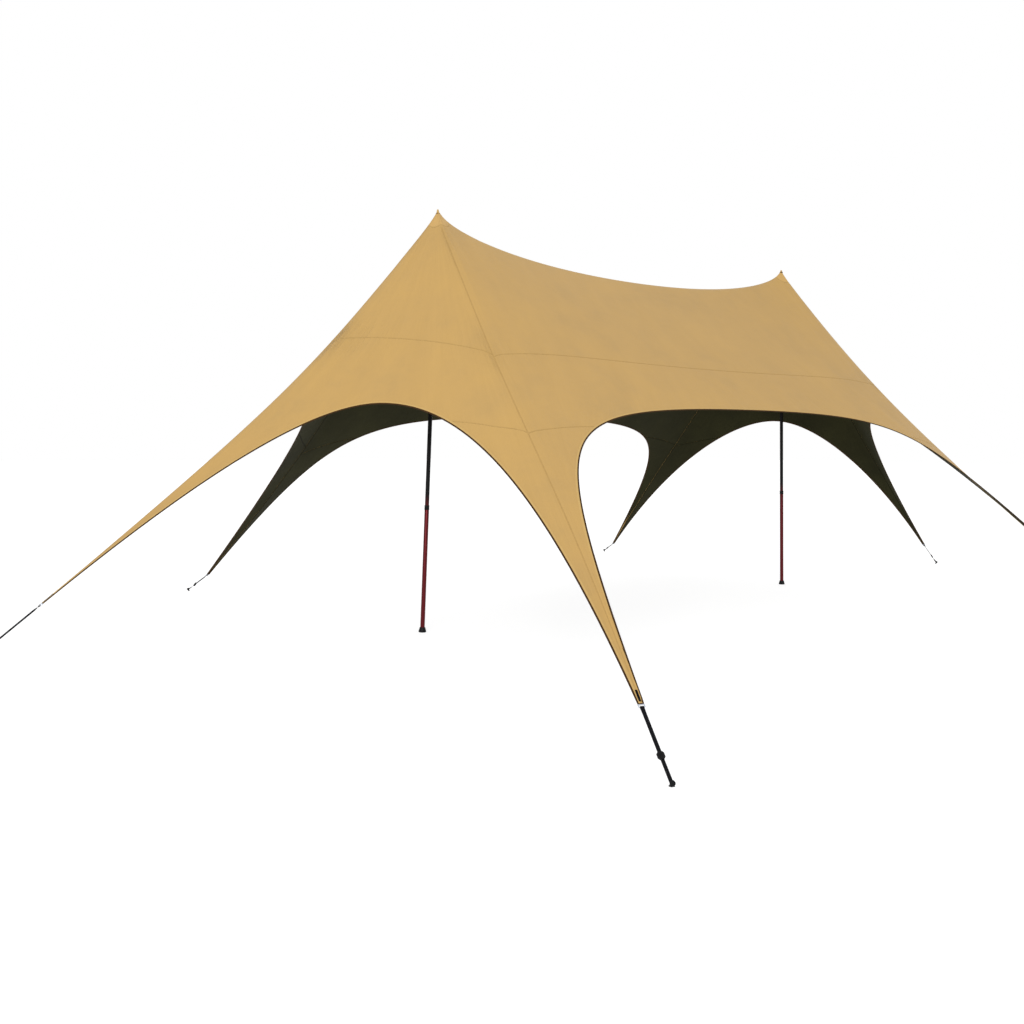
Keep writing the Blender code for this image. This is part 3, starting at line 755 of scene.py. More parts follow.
def pucker_relief(tree):
    """Puckers along the pull of the cloth, pleats below the peaks and soft creases: height and relief."""
    fall = add_node(tree, "ShaderNodeUVMap", {"uv_map": "fall"}).outputs["UV"]
    total = None
    for mask, stretch, turn, grain in CREASES:
        laid = {"Scale": stretch, "Rotation": (0.0, 0.0, turn)}
        place = add_node(tree, "ShaderNodeMapping", laid, Vector=fall).outputs[0]
        centred = math_of(tree, "MULTIPLY_ADD", noise(tree, place, *grain), 4.0, -2.0)
        amount = add_node(tree, "ShaderNodeAttribute", {"attribute_name": mask}).outputs["Fac"]
        part = math_of(tree, "MULTIPLY", centred, amount)
        total = part if total is None else math_of(tree, "ADD", total, part)
    return total, relief_of(tree, 0.8, 0.006, total)


def weave_relief(tree, relief):
    """Plain weave over the puckers: real threads are 0.5 mm apart, drawn at 4 mm so that they can show."""
    cloth = add_node(tree, "ShaderNodeUVMap", {"uv_map": "weave"}).outputs["UV"]
    warp, weft = (waves(tree, cloth, across, 80.0, 0.6) for across in ("X", "Y"))
    return relief_of(tree, 0.25, 0.0006, math_of(tree, "MULTIPLY", warp, weft), Normal=relief)


def canopy_lining():
    """The blackout coating on the underside: dark olive, dull, rolled on, with the weave showing through."""
    material, fresh = new_material("blackout coating, olive")
    if not fresh:
        return material
    tree = material.node_tree
    place = add_node(tree, "ShaderNodeTexCoord").outputs["Object"]
    # Roller marks about 600 mm across
    stops = [(0.32, tint_of("underside", 0.78)), (0.68, tint_of("underside", 1.22))]
    shades = shades_of(tree, noise(tree, place, 1.6, 5.0, 0.65), stops)
    return finish(material, shades, weave_relief(tree, pucker_relief(tree)[1]), 0.8, shine=0.1)


def plain(name, colour, roughness, metallic=0.0, spread=0.1, shine=0.5, share=1.0):
    """A finish with grain about 15 mm across, for small parts."""
    material, fresh = new_material(name)
    if not fresh:
        return material
    tree = material.node_tree
    place = add_node(tree, "ShaderNodeTexCoord").outputs["Object"]
    grain = noise(tree, place, 60.0, 3.0, 0.6)
    dark, light = (tint_of(colour, (1.0 + change) * share) for change in (-spread, spread))
    shades = shades_of(tree, grain, [(0.3, dark), (0.7, light)])
    return finish(material, shades, relief_of(tree, 0.1, 0.0005, grain), roughness, metallic, shine)


def binding_tape():
    """Woven polyester tape: dull, with a fine rib that reads as grain from afar."""
    return plain("woven binding tape, dark brown", "binding", 0.8, spread=0.2, shine=0.1)


def seam_cloth():
    """The canopy's own canvas folded four thick: a shade darker, because stitches draw it in."""
    return plain("folded canvas seam, tan", "seam", 0.75, spread=0.08, shine=0.2)


def hem_cloth_painted_highlight():
    """The canopy's own canvas turned over the hem, painted a shade paler than the cloth as highlight on its
    tight round edge.
    """
    return plain("turned canvas hem, tan", "hem", 0.7, spread=0.05, shine=0.2)


def seam_lining():
    """Taped seams on the underside: the blackout coating, darker where it is doubled."""
    return plain("taped lining seam, black", "underside", 0.8, shine=0.05, share=0.45)


def moulded_plastic():
    """Glass-filled nylon from a mould: fine grain and a dull shine."""
    return plain("moulded nylon, black", "plastic", 0.4, spread=0.2, shine=0.12)


def satin_metal():
    """Zinc-plated steel, brushed: it mirrors the pale surroundings softly."""
    return plain("zinc plated steel, satin", "metal", 0.3, 1.0, spread=0.08)


def anodised_tube():
    """Drawn aluminium, anodised dark red: a narrow soft highlight runs down it."""
    return plain("anodised aluminium, dark red", "tube", 0.34, 0.75, spread=0.08)


def webbing_cloth():
    """Woven polypropylene webbing: black, with ribs 2.5 mm apart across it, each rib's crest painted lighter
    as highlight and its grooves painted darker as shade.
    """
    material, fresh = new_material("polypropylene webbing, black")
    if not fresh:
        return material
    tree = material.node_tree
    strip = add_node(tree, "ShaderNodeUVMap", {"uv_map": "weave"}).outputs["UV"]
    ribs = waves(tree, strip, "X", 126.0, 0.4)
    # Painted highlight and shade: from half the webbing colour in the grooves to 1.7 times it on the rib
    # crests
    shades = shades_of(tree, ribs, [(0.0, tint_of("webbing", 0.5)), (1.0, tint_of("webbing", 1.7))])
    return finish(material, shades, relief_of(tree, 0.6, 0.0006, ribs), 0.6, shine=0.06)


def painted_shade_tube():
    """Drawn aluminium, anodised dark red, with its upper length painted near black as shade under the canopy,
    going over to dark red just above the collar.
    """
    material, fresh = new_material("anodised aluminium, black")
    if not fresh:
        return material
    tree = material.node_tree
    place = add_node(tree, "ShaderNodeTexCoord").outputs["Object"]
    height = add_node(tree, "ShaderNodeSeparateXYZ", None, Vector=place).outputs["Z"]
    painted_shade_fade = {"From Min": 1.22, "From Max": 1.34, "interpolation_type": "SMOOTHSTEP"}
    share = add_node(tree, "ShaderNodeMapRange", painted_shade_fade, Value=height).outputs[0]
    # Painted shade: near black above 1.34 m, going over to the lower tube's red, darkened to 0.6, by 1.22 m
    shades = shades_of(tree, share, [(0.0, tint_of("tube", 0.6)), (1.0, tint_of("upper_tube_shade"))])
    # Drawing lines run along the tube, 3 mm apart
    lines = add_node(tree, "ShaderNodeMapping", {"Scale": (330.0, 330.0, 2.0)}, Vector=place).outputs[0]
    relief = relief_of(tree, 0.1, 0.0003, noise(tree, lines, 1.0, 2.0))
    return finish(material, shades, relief, 0.34, 0.3, 0.2)


# Settings that a user may change
def length(name, description, default, low, high):
    return FloatProperty(
        name=name, description=description, default=default, min=low, max=high, unit="LENGTH")


def colour(name, description, text):
    return FloatVectorProperty(name=name, description=description, subtype="COLOR", default=srgb(text))


class TentSizes(bpy.types.PropertyGroup):
    """Sizes that a user may change."""
    cloth_thickness: length("Cloth thickness", "Thickness of the canopy cloth", 0.003, 0.0005, 0.01)
    binding_width: length("Hem width", "Width of the cloth turned over at the hems", 0.014, 0.005, 0.08)
    seam_width: length("Seam width", "Width of the folded seams", 0.011, 0.004, 0.06)
    ring_segments: IntProperty(
        name="Round segments", description="Faces round a pole", default=48, min=12, max=96)


class TentColours(bpy.types.PropertyGroup):
    """Colours that a user may change."""
    cloth: colour("Cloth", "Outside of the canopy", "#AB8A52")
    underside: colour("Underside", "Coating under the canopy", "#252410")
    seam: colour("Seams", "Folded seams of the cloth", "#A1824D")
    # Hems: the cloth's colour painted a shade paler, as highlight on the round edge of the hem
    hem: colour("Hems", "Canvas turned over the hems", "#B09159")
    binding: colour("Binding", "Tape along the hems", "#382511")
    webbing: colour("Webbing", "Straps", "#0D0D10")
    plastic: colour("Plastic", "Buckles, pegs, feet and collars", "#0C0C0E")
    metal: colour("Metal", "Tip bars", "#C4CAD4")
    tube: colour("Tube", "Lower pole tubes", "#540C12")
    # Upper tube: the red tube painted near black as shade under the canopy
    upper_tube_shade: colour("Upper tube", "Upper pole tubes", "#0B090A")


# The canopy
def mesh_object(name, verts, faces):
    mesh = bpy.data.meshes.new(name)
    mesh.from_pydata([tuple(v) for v in verts], [], faces)
    mesh.update()
    obj = bpy.data.objects.new(name, mesh)
    bpy.context.scene.collection.objects.link(obj)
    return obj


def grid_faces(rows, columns, start=0):
    faces = []
    for row in range(rows - 1):
        for column in range(columns - 1):
            a = start + row * columns + column
            faces.append((a, a + 1, a + columns + 1, a + columns))
    return faces


def write_uv(obj, layer, values):
    """Give a mesh a UV map from one pair of metres for each point."""
    corners = np.zeros(len(obj.data.loops), dtype=np.int32)
    obj.data.loops.foreach_get("vertex_index", corners)
    obj.data.uv_layers.new(name=layer)
    obj.data.uv_layers[layer].data.foreach_set("uv", values[corners].astype(np.float32).ravel())


def panel_axes(name, grid):
    """Directions along a panel's strips and away from its ridge, with where its first ring seam runs."""
    _grid, arms, side = PANELS[name]
    if side == 0:
        facing = math.copysign(1.0, float(grid[-1, :, 1].mean() - MIDDLE[1]))
        away = np.array([0.0, facing])
        return np.array([1.0, 0.0]), away, float(away @ MIDDLE[:2]) + SIDE_SEAMS[0]
    ends = []
    for arm in arms:
        ridge = arm_ridge(arm, 200)
        reach = np.linalg.norm((ridge - peak(side))[:, :2], axis=1)
        wanted = END_SEAM_REACH[0] if arm in ("left_end", "right_end") else END_SEAM_REACH[1]
        ends.append(ridge[np.argmin(np.abs(reach - wanted))][:2])
    chord = (ends[1] - ends[0]) / np.linalg.norm(ends[1] - ends[0])
    away = np.array([-chord[1], chord[0]])
    away *= math.copysign(1.0, float(away @ (ends[0] - peak(side)[:2])))
    return chord, away, float(away @ ends[0])


def seam_offset(name, grid):
    """How far each point lies beyond its panel's first ring seam, in plan."""
    side = PANELS[name][2]
    chord, away, base = panel_axes(name, grid)
    offset = grid[..., :2] @ away - base
    if side != 0:
        along = grid[..., :2] @ chord
        centre = float(chord @ peak(side)[:2])
        offset += END_SEAM_BOW * np.clip(1.0 - np.square((along - centre) / 1.1), 0.0, 1.0)
    return offset


def cloth_masks(name, grid):
    """Where the cloth is puckered by its seam, pleated below a peak, doubled by a patch or softly creased."""
    # These masks set both the relief and the painted light and shade of the canopy cloth
    arms = PANELS[name][1]
    reach = np.minimum(*[np.linalg.norm((grid - peak(end))[..., :2], axis=-1) for end in (-1, 1)])
    pucker = np.zeros(grid.shape[:2])
    strengths = {"left_end": 0.65, "front_right": 0.6, "front_left": 0.25}
    ring = np.exp(-np.square(seam_offset(name, grid) / 0.15))
    for arm in arms:
        gap = distance_in_plan(grid.reshape(-1, 3), arm_ridge(arm, 80)).reshape(grid.shape[:2])
        pucker = np.maximum(pucker, strengths.get(arm, 0.35) * np.exp(-np.square(gap / 0.5)))
    pucker *= ring
    hem = np.exp(-np.arange(grid.shape[0])[::-1] / 4.0)[:, None]
    pucker = np.maximum(pucker, 0.3 * hem)
    pleat = 0.25 * np.clip((reach - 0.1) / 0.08, 0.0, 1.0) * np.clip((0.8 - reach) / 0.5, 0.0, 1.0)
    return {"pucker": pucker, "pleat": pleat, "patch": (reach < PATCH_RADIUS).astype(float),
            "crease": np.full(grid.shape[:2], 0.22)}


def cloth_coordinates(name, grid):
    """Metres along and across the strips of cloth, and metres round the hem and down the fall."""
    chord, away, _base = panel_axes(name, grid)
    weave = np.stack([grid[..., :2] @ chord, grid[..., :2] @ away], axis=-1)
    hem = np.concatenate([[0.0], np.cumsum(np.linalg.norm(np.diff(grid[-1], axis=0), axis=1))])
    steps = np.linalg.norm(np.diff(grid, axis=0), axis=2)
    down = np.concatenate([np.zeros((1, grid.shape[1])), np.cumsum(steps, axis=0)])
    fall = np.stack([np.broadcast_to(hem, down.shape), down], axis=-1)
    return weave, fall


class TENT_OT_canopy(bpy.types.Operator):
    """Make the stretched canopy as one continuous sheet"""
    bl_idname = "tent.canopy"
    bl_label = "Canopy"

    def execute(self, context):
        verts, faces, weaves, falls = [], [], [], []
        masks = {"pucker": [], "pleat": [], "patch": [], "crease": []}
        for name, (grid, _arms, _side) in PANELS.items():
            faces += grid_faces(*grid.shape[:2], start=len(verts))
            verts += [tuple(p) for p in grid.reshape(-1, 3)]
            weave, fall = cloth_coordinates(name, grid)
            weaves.append(weave.reshape(-1, 2))
            falls.append(fall.reshape(-1, 2))
            for mask, values in cloth_masks(name, grid).items():
                masks[mask].append(values.ravel())
        canopy = mesh_object("canopy", verts, faces)
        write_uv(canopy, "weave", np.concatenate(weaves))
        write_uv(canopy, "fall", np.concatenate(falls))
        for mask, values in masks.items():
            canopy.data.attributes.new(name=mask, type="FLOAT", domain="POINT")
            canopy.data.attributes[mask].data.foreach_set("value", np.concatenate(values).astype(np.float32))
        edit(canopy)
        bpy.ops.mesh.select_all(action="SELECT")
        bpy.ops.mesh.remove_doubles(threshold=0.0001)
        bpy.ops.mesh.normals_make_consistent(inside=False)
        leave_edit()
        rise = sum(face.normal.z * face.area for face in canopy.data.polygons)
        if rise < 0.0:
            canopy.data.flip_normals()
        canopy.data.materials.append(canopy_cloth())
        canopy.data.materials.append(canopy_lining())
        thicken = canopy.modifiers.new("thickness", "SOLIDIFY")
        thicken.thickness = context.scene.tent_sizes.cloth_thickness
        thicken.offset = -1.0
        thicken.material_offset = 1
        thicken.material_offset_rim = 1
        area = sum(face.area for face in canopy.data.polygons)
        apply_modifiers(canopy)
        smooth(canopy, 60.0)
        dress(canopy, "canopy", None, [
            "end_panel_left_front", "end_panel_left_back", "end_panel_right_front", "end_panel_right_back",
            "side_panel_front", "side_panel_back", "peak_cone_left", "peak_cone_right"])
        context.scene["canopy_area"] = area
        return {"FINISHED"}


# Seams and hems
def swept(points, normals, outline, breadths=None, inward=None):
    """A solid strip along points. Its outline is given as pairs of metres across and up."""
    points = np.asarray(points, dtype=float)
    normals = np.asarray(normals, dtype=float)
    tangents = np.gradient(points, axis=0)
    tangents /= np.linalg.norm(tangents, axis=1)[:, None]
    normals = normals - (normals * tangents).sum(axis=1)[:, None] * tangents
    normals /= np.linalg.norm(normals, axis=1)[:, None]
    sides = np.cross(tangents, normals)
    if inward is not None and float((sides * inward).sum()) < 0.0:
        sides = -sides
    if breadths is None:
        breadths = np.ones(len(points))
    count = len(outline)
    verts, faces = [], []
    for point, side, normal, breadth in zip(points, sides, normals, breadths):
        for across, up in outline:
            verts.append(point + side * across * breadth + normal * up)
    for step in range(len(points) - 1):
        nearer, further = step * count, (step + 1) * count
        for k in range(count):
            following = (k + 1) % count
            faces.append((nearer + k, nearer + following, further + following, further + k))
    faces.append(tuple(range(count))[::-1])
    faces.append(tuple((len(points) - 1) * count + k for k in range(count)))
    return verts, faces


def seam_outline(width, rise=0.0008, sink=0.0045):
    """A folded seam that stands up above the cloth and shows as a tape under it."""
    half = 0.5 * width
    return [(-half, -sink), (-half, 0.0004), (0.002 - half, rise), (half - 0.002, rise), (half, 0.0004),
            (half, -sink)]


def finish_seams(obj):
    """Give the underside of the seams its dark lining."""
    obj.data.materials.append(seam_cloth())
    obj.data.materials.append(seam_lining())
    edit(obj)
    faces_where(obj, lambda centre, normal: normal.z < -0.2)
    obj.active_material_index = 1
    bpy.ops.object.material_slot_assign()
    leave_edit()
    smooth(obj, 40.0)
    dress(obj, obj.name, None)


def join_meshes(name, parts):
    verts, faces = [], []
    for part_verts, part_faces in parts:
        start = len(verts)
        verts += list(part_verts)
        faces += [tuple(start + k for k in face) for face in part_faces]
    obj = mesh_object(name, verts, faces)
    edit(obj)
    bpy.ops.mesh.select_all(action="SELECT")
    bpy.ops.mesh.normals_make_consistent(inside=False)
    leave_edit()
    return obj


def grid_normals(grid):
    """Upward surface normals of a panel's points."""
    down = np.gradient(grid, axis=0)
    along = np.gradient(grid, axis=1)
    normals = np.cross(down, along)
    lengths = np.linalg.norm(normals, axis=2)
    lengths[lengths < 1e-12] = 1.0
    normals /= lengths[:, :, None]
    normals[normals[:, :, 2] < 0.0] *= -1.0
    return normals


def level_line(grid, measure, level):
    """Where a measure of the plan crosses a level on each of a panel's columns."""
    normals = grid_normals(grid)
    values = measure(grid)
    points, ups = [], []
    for column in range(grid.shape[1]):
        line = values[:, column]
        over = np.nonzero((line[:-1] < level) & (line[1:] >= level))[0]
        if len(over) == 0:
            points.append(None)
            ups.append(None)
            continue
        row = over[0]
        share = (level - line[row]) / (line[row + 1] - line[row])
        points.append(grid[row, column] * (1.0 - share) + grid[row + 1, column] * share)
        ups.append(normals[row, column] * (1.0 - share) + normals[row + 1, column] * share)
    runs, run = [], []
    for point, up in zip(points, ups):
        if point is None:
            if len(run) > 2:
                runs.append(run)
            run = []
        else:
            run.append((point, up))
    if len(run) > 2:
        runs.append(run)
    return runs


def ridge_line(arm, rows):
    """The crest of an arm after rounding, with upward normals."""
    for grid, arms, _side in PANELS.values():
        if arm in arms:
            line = grid[:, 0] if arms[0] == arm else grid[:, -1]
            break
    tangents = np.gradient(line, axis=0)
    across = np.cross([0.0, 0.0, 1.0], outward(ARMS[arm][1]))
    normals = np.cross(tangents, across)
    normals[normals[:, 2] < 0.0] *= -1.0
    return line, normals


class TENT_OT_seams(bpy.types.Operator):
    """Lay the folded seams along the arms, over the ridge and across the panels"""
    bl_idname = "tent.seams"
    bl_label = "Seams"

    def execute(self, context):
        width = context.scene.tent_sizes.seam_width
        parts = []
        for arm, (side, _azimuth, _reach, _height, _peg_reach) in ARMS.items():
            line, normals = ridge_line(arm, ROWS)
            kept = np.linalg.norm((line - peak(side))[:, :2], axis=1) > PATCH_RADIUS
            parts.append(swept(line[kept], normals[kept], seam_outline(width)))
        for name, (grid, _arms, side) in PANELS.items():
            if side == 0:
                top = grid[0]
                kept = np.abs(top[:, 0] - MIDDLE[0]) < PEAK_X - PATCH_RADIUS
                ups = np.tile([0.0, 0.0, 1.0], (int(kept.sum()), 1))
                parts.append(swept(top[kept], ups, seam_outline(width)))
                break
        finish_seams(join_meshes("ridge_seams", parts))
        parts = []
        for name, (grid, arms, side) in PANELS.items():
            levels = (0.0, SIDE_SEAMS[1] - SIDE_SEAMS[0]) if side == 0 else (0.0, SECOND_SEAM)
            for number, level in enumerate(levels):
                for run in level_line(grid, lambda points: seam_offset(name, points), level):
                    points = np.array([point for point, _up in run])
                    ups = np.array([up for _point, up in run])
                    if side != 0 and number == 1:
                        # The end arm is cut in one length; only the corner arm has a second seam
                        corner = arms[0] if arms[0] not in ("left_end", "right_end") else arms[1]
                        near = distance_in_plan(points, arm_ridge(corner, 80)).ravel()
                        if near.min() > 0.3:
                            continue
                    parts.append(swept(points, ups, seam_outline(0.9 * width, 0.0007, 0.0042)))
        for side in (-1, 1):
            ring, ups = [], []
            for azimuth in np.linspace(0.0, 360.0, 97):
                point, normal = point_on_cloth(side, azimuth, PATCH_RADIUS)
                ring.append(point)
                ups.append(normal)
            parts.append(swept(ring, ups, seam_outline(0.008, 0.0006, 0.0042)))
        finish_seams(join_meshes("panel_seams", parts))
        return {"FINISHED"}


def point_on_cloth(side, azimuth, reach):
    """The canopy's point at a reach from a peak, found straight down on the finished sheet."""
    spot = peak(side) + outward(azimuth) * reach
    canopy = bpy.data.objects["canopy"]
    found, place, normal, _index = canopy.ray_cast(Vector((spot[0], spot[1], 6.0)), Vector((0.0, 0.0, -1.0)))
    if not found:
        return spot, np.array([0.0, 0.0, 1.0])
    return np.array(place), np.array(normal)


class TENT_OT_hems(bpy.types.Operator):
    """Turn the cloth over each arched hem and bind its edge with tape"""
    bl_idname = "tent.hems"
    bl_label = "Hem bindings"

    def execute(self, context):
        width = context.scene.tent_sizes.binding_width
        bound = [(0.0075, 0.0010), (-0.0030, 0.0010), (-0.0045, 0.0), (-0.0045, -0.0030), (-0.0030, -0.0045),
                 (0.0120, -0.0045), (0.0120, -0.0020), (0.0075, -0.0020)]
        fold = [(0.0075, -0.0010), (0.0075, 0.0008), (0.0090, 0.0013), (width + 0.0075, 0.0013),
                (width + 0.0090, 0.0004), (width + 0.0090, -0.0010)]
        bindings, folds = [], []
        for grid, arms, _side in PANELS.values():
            hem = grid[-1]
            inward = grid[-2] - hem
            inward /= np.linalg.norm(inward, axis=1)[:, None]
            normals = grid_normals(grid)[-1]
            room = np.minimum(*[distance_in_plan(hem, arm_ridge(arm, 200)).ravel() for arm in arms])
            breadths = np.clip(room / (width + 0.012), 0.25, 1.0)
            bindings.append(swept(hem, normals, bound, None, inward))
            folds.append(swept(hem, normals, fold, breadths, inward))
        for name, strips, cloth in (
                ("hem_bindings", bindings, binding_tape), ("hem_folds", folds, hem_cloth_painted_highlight)):
            obj = join_meshes(name, strips)
            smooth(obj, 40.0)
            dress(obj, name, cloth())
        parts = []
        for arm in ARMS:
            line, normals = ridge_line(arm, ROWS)
            along = resample(line, 400, 1.0)
            gap = np.linalg.norm(along - line[-1], axis=1)
            along = along[(gap > 0.012) & (gap < 0.1)]
            ups = np.tile(normals[-1], (len(along), 1))
            half = 0.0075
            parts.append(swept(along, ups, [(-half, -0.0015), (-half, 0.0022), (0.001 - half, 0.0030),
                                            (half - 0.001, 0.0030), (half, 0.0022), (half, -0.0015)]))
        obj = join_meshes("tip_tapes", parts)
        smooth(obj, 40.0)
        dress(obj, "tip_tapes", webbing_cloth())
        return {"FINISHED"}


# Poles
def pole_matrix(side):
    """The pole's own space: its Z axis runs from the foot on the ground up to the peak."""
    foot = Vector(MIDDLE + np.array([side * POLE_FOOT_X, 0.0, 0.0]))
    up = (Vector(peak(side)) - foot).normalized()
    across = Vector((0.0, 1.0, 0.0))
    matrix = Matrix((across.cross(up), across, up)).transposed().to_4x4()
    matrix.translation = foot
    return matrix


def turned(name, profile, segments):
    """An outline of radius and height pairs, spun once round Z in edit mode."""
    mesh = bpy.data.meshes.new(name)
    mesh.from_pydata([(radius, 0.0, height) for radius, height in profile],
                     [(k, (k + 1) % len(profile)) for k in range(len(profile))], [])
    obj = bpy.data.objects.new(name, mesh)
    bpy.context.scene.collection.objects.link(obj)
    edit(obj)
    bpy.ops.mesh.select_all(action="SELECT")
    bpy.ops.mesh.spin(steps=segments, angle=math.tau, center=(0, 0, 0), axis=(0, 0, 1), use_auto_merge=True)
    bpy.ops.mesh.select_all(action="SELECT")
    bpy.ops.mesh.remove_doubles(threshold=0.00002)
    bpy.ops.mesh.dissolve_degenerate(threshold=0.00002)
    bpy.ops.mesh.select_all(action="SELECT")
    bpy.ops.mesh.normals_make_consistent(inside=False)
    leave_edit()
    return obj


class TENT_OT_poles(bpy.types.Operator):
    """Turn the two telescopic poles with their feet, collars and caps"""
    bl_idname = "tent.poles"
    bl_label = "Poles"

    def execute(self, context):
        segments = context.scene.tent_sizes.ring_segments
        pieces = {
            "pole_foot": (moulded_plastic, "black_plastic", [
                (0.0, 0.0), (0.0355, 0.0), (0.037, 0.0015), (0.037, 0.010), (0.0362, 0.0125), (0.0272, 0.044),
                (0.0262, 0.0475), (0.0250, 0.048), (0.0218, 0.048), (0.0218, 0.0145), (0.0, 0.0145)]),
            "pole_lower": (anodised_tube, "pole_red", [
                (0.0, 0.015), (0.0215, 0.015), (0.0215, 1.1985), (0.0208, 1.2), (0.0, 1.2)]),
            "pole_collar": (moulded_plastic, "black_plastic", [
                (0.0218, 1.179), (0.0232, 1.179), (0.0240, 1.181), (0.0240, 1.190), (0.0232, 1.191),
                (0.0232, 1.208), (0.0240, 1.209), (0.0240, 1.2185), (0.0228, 1.221), (0.0203, 1.221),
                (0.0203, 1.2003), (0.0218, 1.2003)]),
            "pole_upper": (painted_shade_tube, "pole_red", [
                (0.0, 1.2003), (0.0200, 1.2003), (0.0200, 3.894), (0.0193, 3.895), (0.0, 3.895)]),
            "pole_cap": (moulded_plastic, "black_plastic", [
                (0.0203, 3.835), (0.0220, 3.835), (0.0225, 3.837), (0.0225, 3.918), (0.0165, 3.925),
                (0.0055, 3.955), (0.0055, 4.0), (0.0048, 4.002), (0.0, 4.002), (0.0, 3.8953),
                (0.0203, 3.8953)]),
        }
        for name, (cover, slot, profile) in pieces.items():
            pattern = turned(name, profile, segments)
            smooth(pattern, 30.0)
            for label, side in (("left", -1), ("right", 1)):
                piece = copy_of(pattern, f"{name}_{label}_piece")
                piece.data.transform(pole_matrix(side))
                if name == "pole_foot":
                    for vert in piece.data.vertices:
                        vert.co.z = max(vert.co.z, 0.0)
                dress(piece, f"{name}_{label}_piece", cover(), [f"{name}_{label}"])
            bpy.data.objects.remove(pattern, do_unlink=True)
        # A sewn cap of cloth covers each pin, over a dark band
        for label, side in (("left", -1), ("right", 1)):
            base = point_on_cloth(side, 180.0, 0.0175)[0][2] - 0.002
            for name, cover, slot, profile in (
                    ("tip_cap", hem_cloth_painted_highlight, "canopy_cloth", [
                        (0.0062, base + 0.004), (0.0135, base + 0.004), (0.0125, base + 0.012),
                        (0.0080, 4.0010), (0.0070, 4.0045), (0.0, 4.0055), (0.0, 4.0025), (0.0062, 4.0025)]),
                    ("tip_band", binding_tape, "canopy_cloth", [
                        (0.0062, base), (0.0195, base - 0.006), (0.0195, base + 0.0005),
                        (0.0140, base + 0.0045), (0.0140, base + 0.0075), (0.0062, base + 0.0075)])):
                piece = turned(name, profile, segments)
                smooth(piece, 30.0)
                piece.data.transform(Matrix.Translation(Vector((peak(side)[0], peak(side)[1], 0.0))))
                dress(piece, f"{name}_{label}", cover())
        return {"FINISHED"}


# Arm ends
def arm_matrix(arm):
    """Space of an arm's fittings: X runs down the strap from the cloth's tip, Z is square to the strap."""
    side, azimuth, reach, height, peg_reach = ARMS[arm]
    tip = Vector(arm_point(arm, reach, height))
    peg = Vector(arm_point(arm, peg_reach, PEG_HEIGHT))
    down = (peg - tip).normalized()
    across = Vector((0.0, 0.0, 1.0)).cross(Vector(outward(azimuth)))
    matrix = Matrix((down, across, down.cross(across))).transposed().to_4x4()
    matrix.translation = tip
    return matrix, (peg - tip).length


def levels_of(arm):
    matrix, length = arm_matrix(arm)
    steepness = math.asin(-matrix[2][0])
    level = -0.5 * FABRIC_DROP * math.cos(steepness)
    ring_start = (0.0015 - level) * math.tan(steepness) + 0.0003
    return matrix, length, level, ring_start


def block(name, size, centre, bevel, segments=2):
    clear_selection()
    bpy.ops.mesh.primitive_cube_add(size=1.0, location=centre)
    obj = bpy.context.object
    obj.name = name
    obj.scale = size
    bpy.ops.object.transform_apply(location=True, rotation=True, scale=True)
    if bevel > 0.0:
        edit(obj)
        bpy.ops.mesh.select_all(action="SELECT")
        bpy.ops.mesh.bevel(offset=bevel, segments=segments, affect="EDGES")
        leave_edit()
    return obj


def twist(obj, arm, start, end, level):
    """Turn a strap and what sits on it about its length, easing in from its two ends."""
    turn = math.radians(TWISTS.get(arm, 0.0))
    for vert in obj.data.vertices:
        share = min(max((vert.co.x - start - 0.02) / 0.06, 0.0), 1.0)
        share *= min(max((end - vert.co.x) / 0.12, 0.0), 1.0)
        angle = turn * share * share * (3.0 - 2.0 * share)
        across, up = vert.co.y, vert.co.z - level
        vert.co.y = across * math.cos(angle) - up * math.sin(angle)
        vert.co.z = level + across * math.sin(angle) + up * math.cos(angle)


def round_edges(obj, width, segments):
    """Bevel the sharp edges of a moulded or stamped part."""
    rounding = obj.modifiers.new("rounding", "BEVEL")
    rounding.width = width
    rounding.segments = segments
    rounding.limit_method = "ANGLE"
    apply_modifiers(obj)


def slotted_bar(size, centre, rim):
    """A flat bar with a slot for the strap: two faces inset and bridged through."""
    bar = block("bar", size, centre, 0.0)
    edit(bar)
    faces_where(bar, lambda middle, normal: abs(normal.z) > 0.9)
    bpy.ops.mesh.inset(thickness=rim)
    bpy.ops.mesh.bridge_edge_loops()
    bpy.ops.mesh.select_all(action="SELECT")
    bpy.ops.mesh.normals_make_consistent(inside=False)
    leave_edit()
    round_edges(bar, 0.0012, 3)
    return bar


def strap_path(start, length, level, buckle):
    """Round the bar's rail and back into the buckle, then on to the peg: x along, z up."""
    rail = start + 0.017
    path = [(buckle, level + 0.0011), (rail + 0.05, level + 0.0012), (rail + 0.025, level + 0.0022)]
    for angle in np.radians(np.linspace(75.0, 285.0, 11)):
        path.append((rail + 0.0047 * math.cos(angle), level + 0.0047 * math.sin(angle)))
    path += [(rail + 0.025, level - 0.0022), (rail + 0.05, level - 0.0012), (buckle, level - 0.0011)]
    path += [(buckle + 0.035, level), (length + 0.018, level)]
    return path


def strap_mesh(path):
    """A webbing strip along a side-on path, with metres along and across it for its ribs."""
    points = resample(np.array([(x, 0.0, z) for x, z in path]), 160, 1.0)
    tangents = np.gradient(points, axis=0)
    ups = np.cross(tangents, [0.0, 1.0, 0.0])
    half = 0.0125
    verts, faces = swept(points, ups, [(-half, -0.0007), (-half, 0.0007), (0.0008 - half, 0.0009),
                                       (half - 0.0008, 0.0009), (half, 0.0007), (half, -0.0007)])
    obj = join_meshes("strap", [(verts, faces)])
    along = np.concatenate([[0.0], np.cumsum(np.linalg.norm(np.diff(points, axis=0), axis=1))])
    write_uv(obj, "weave", np.array([(along[k // 6], verts[k][1]) for k in range(len(verts))]))
    return obj


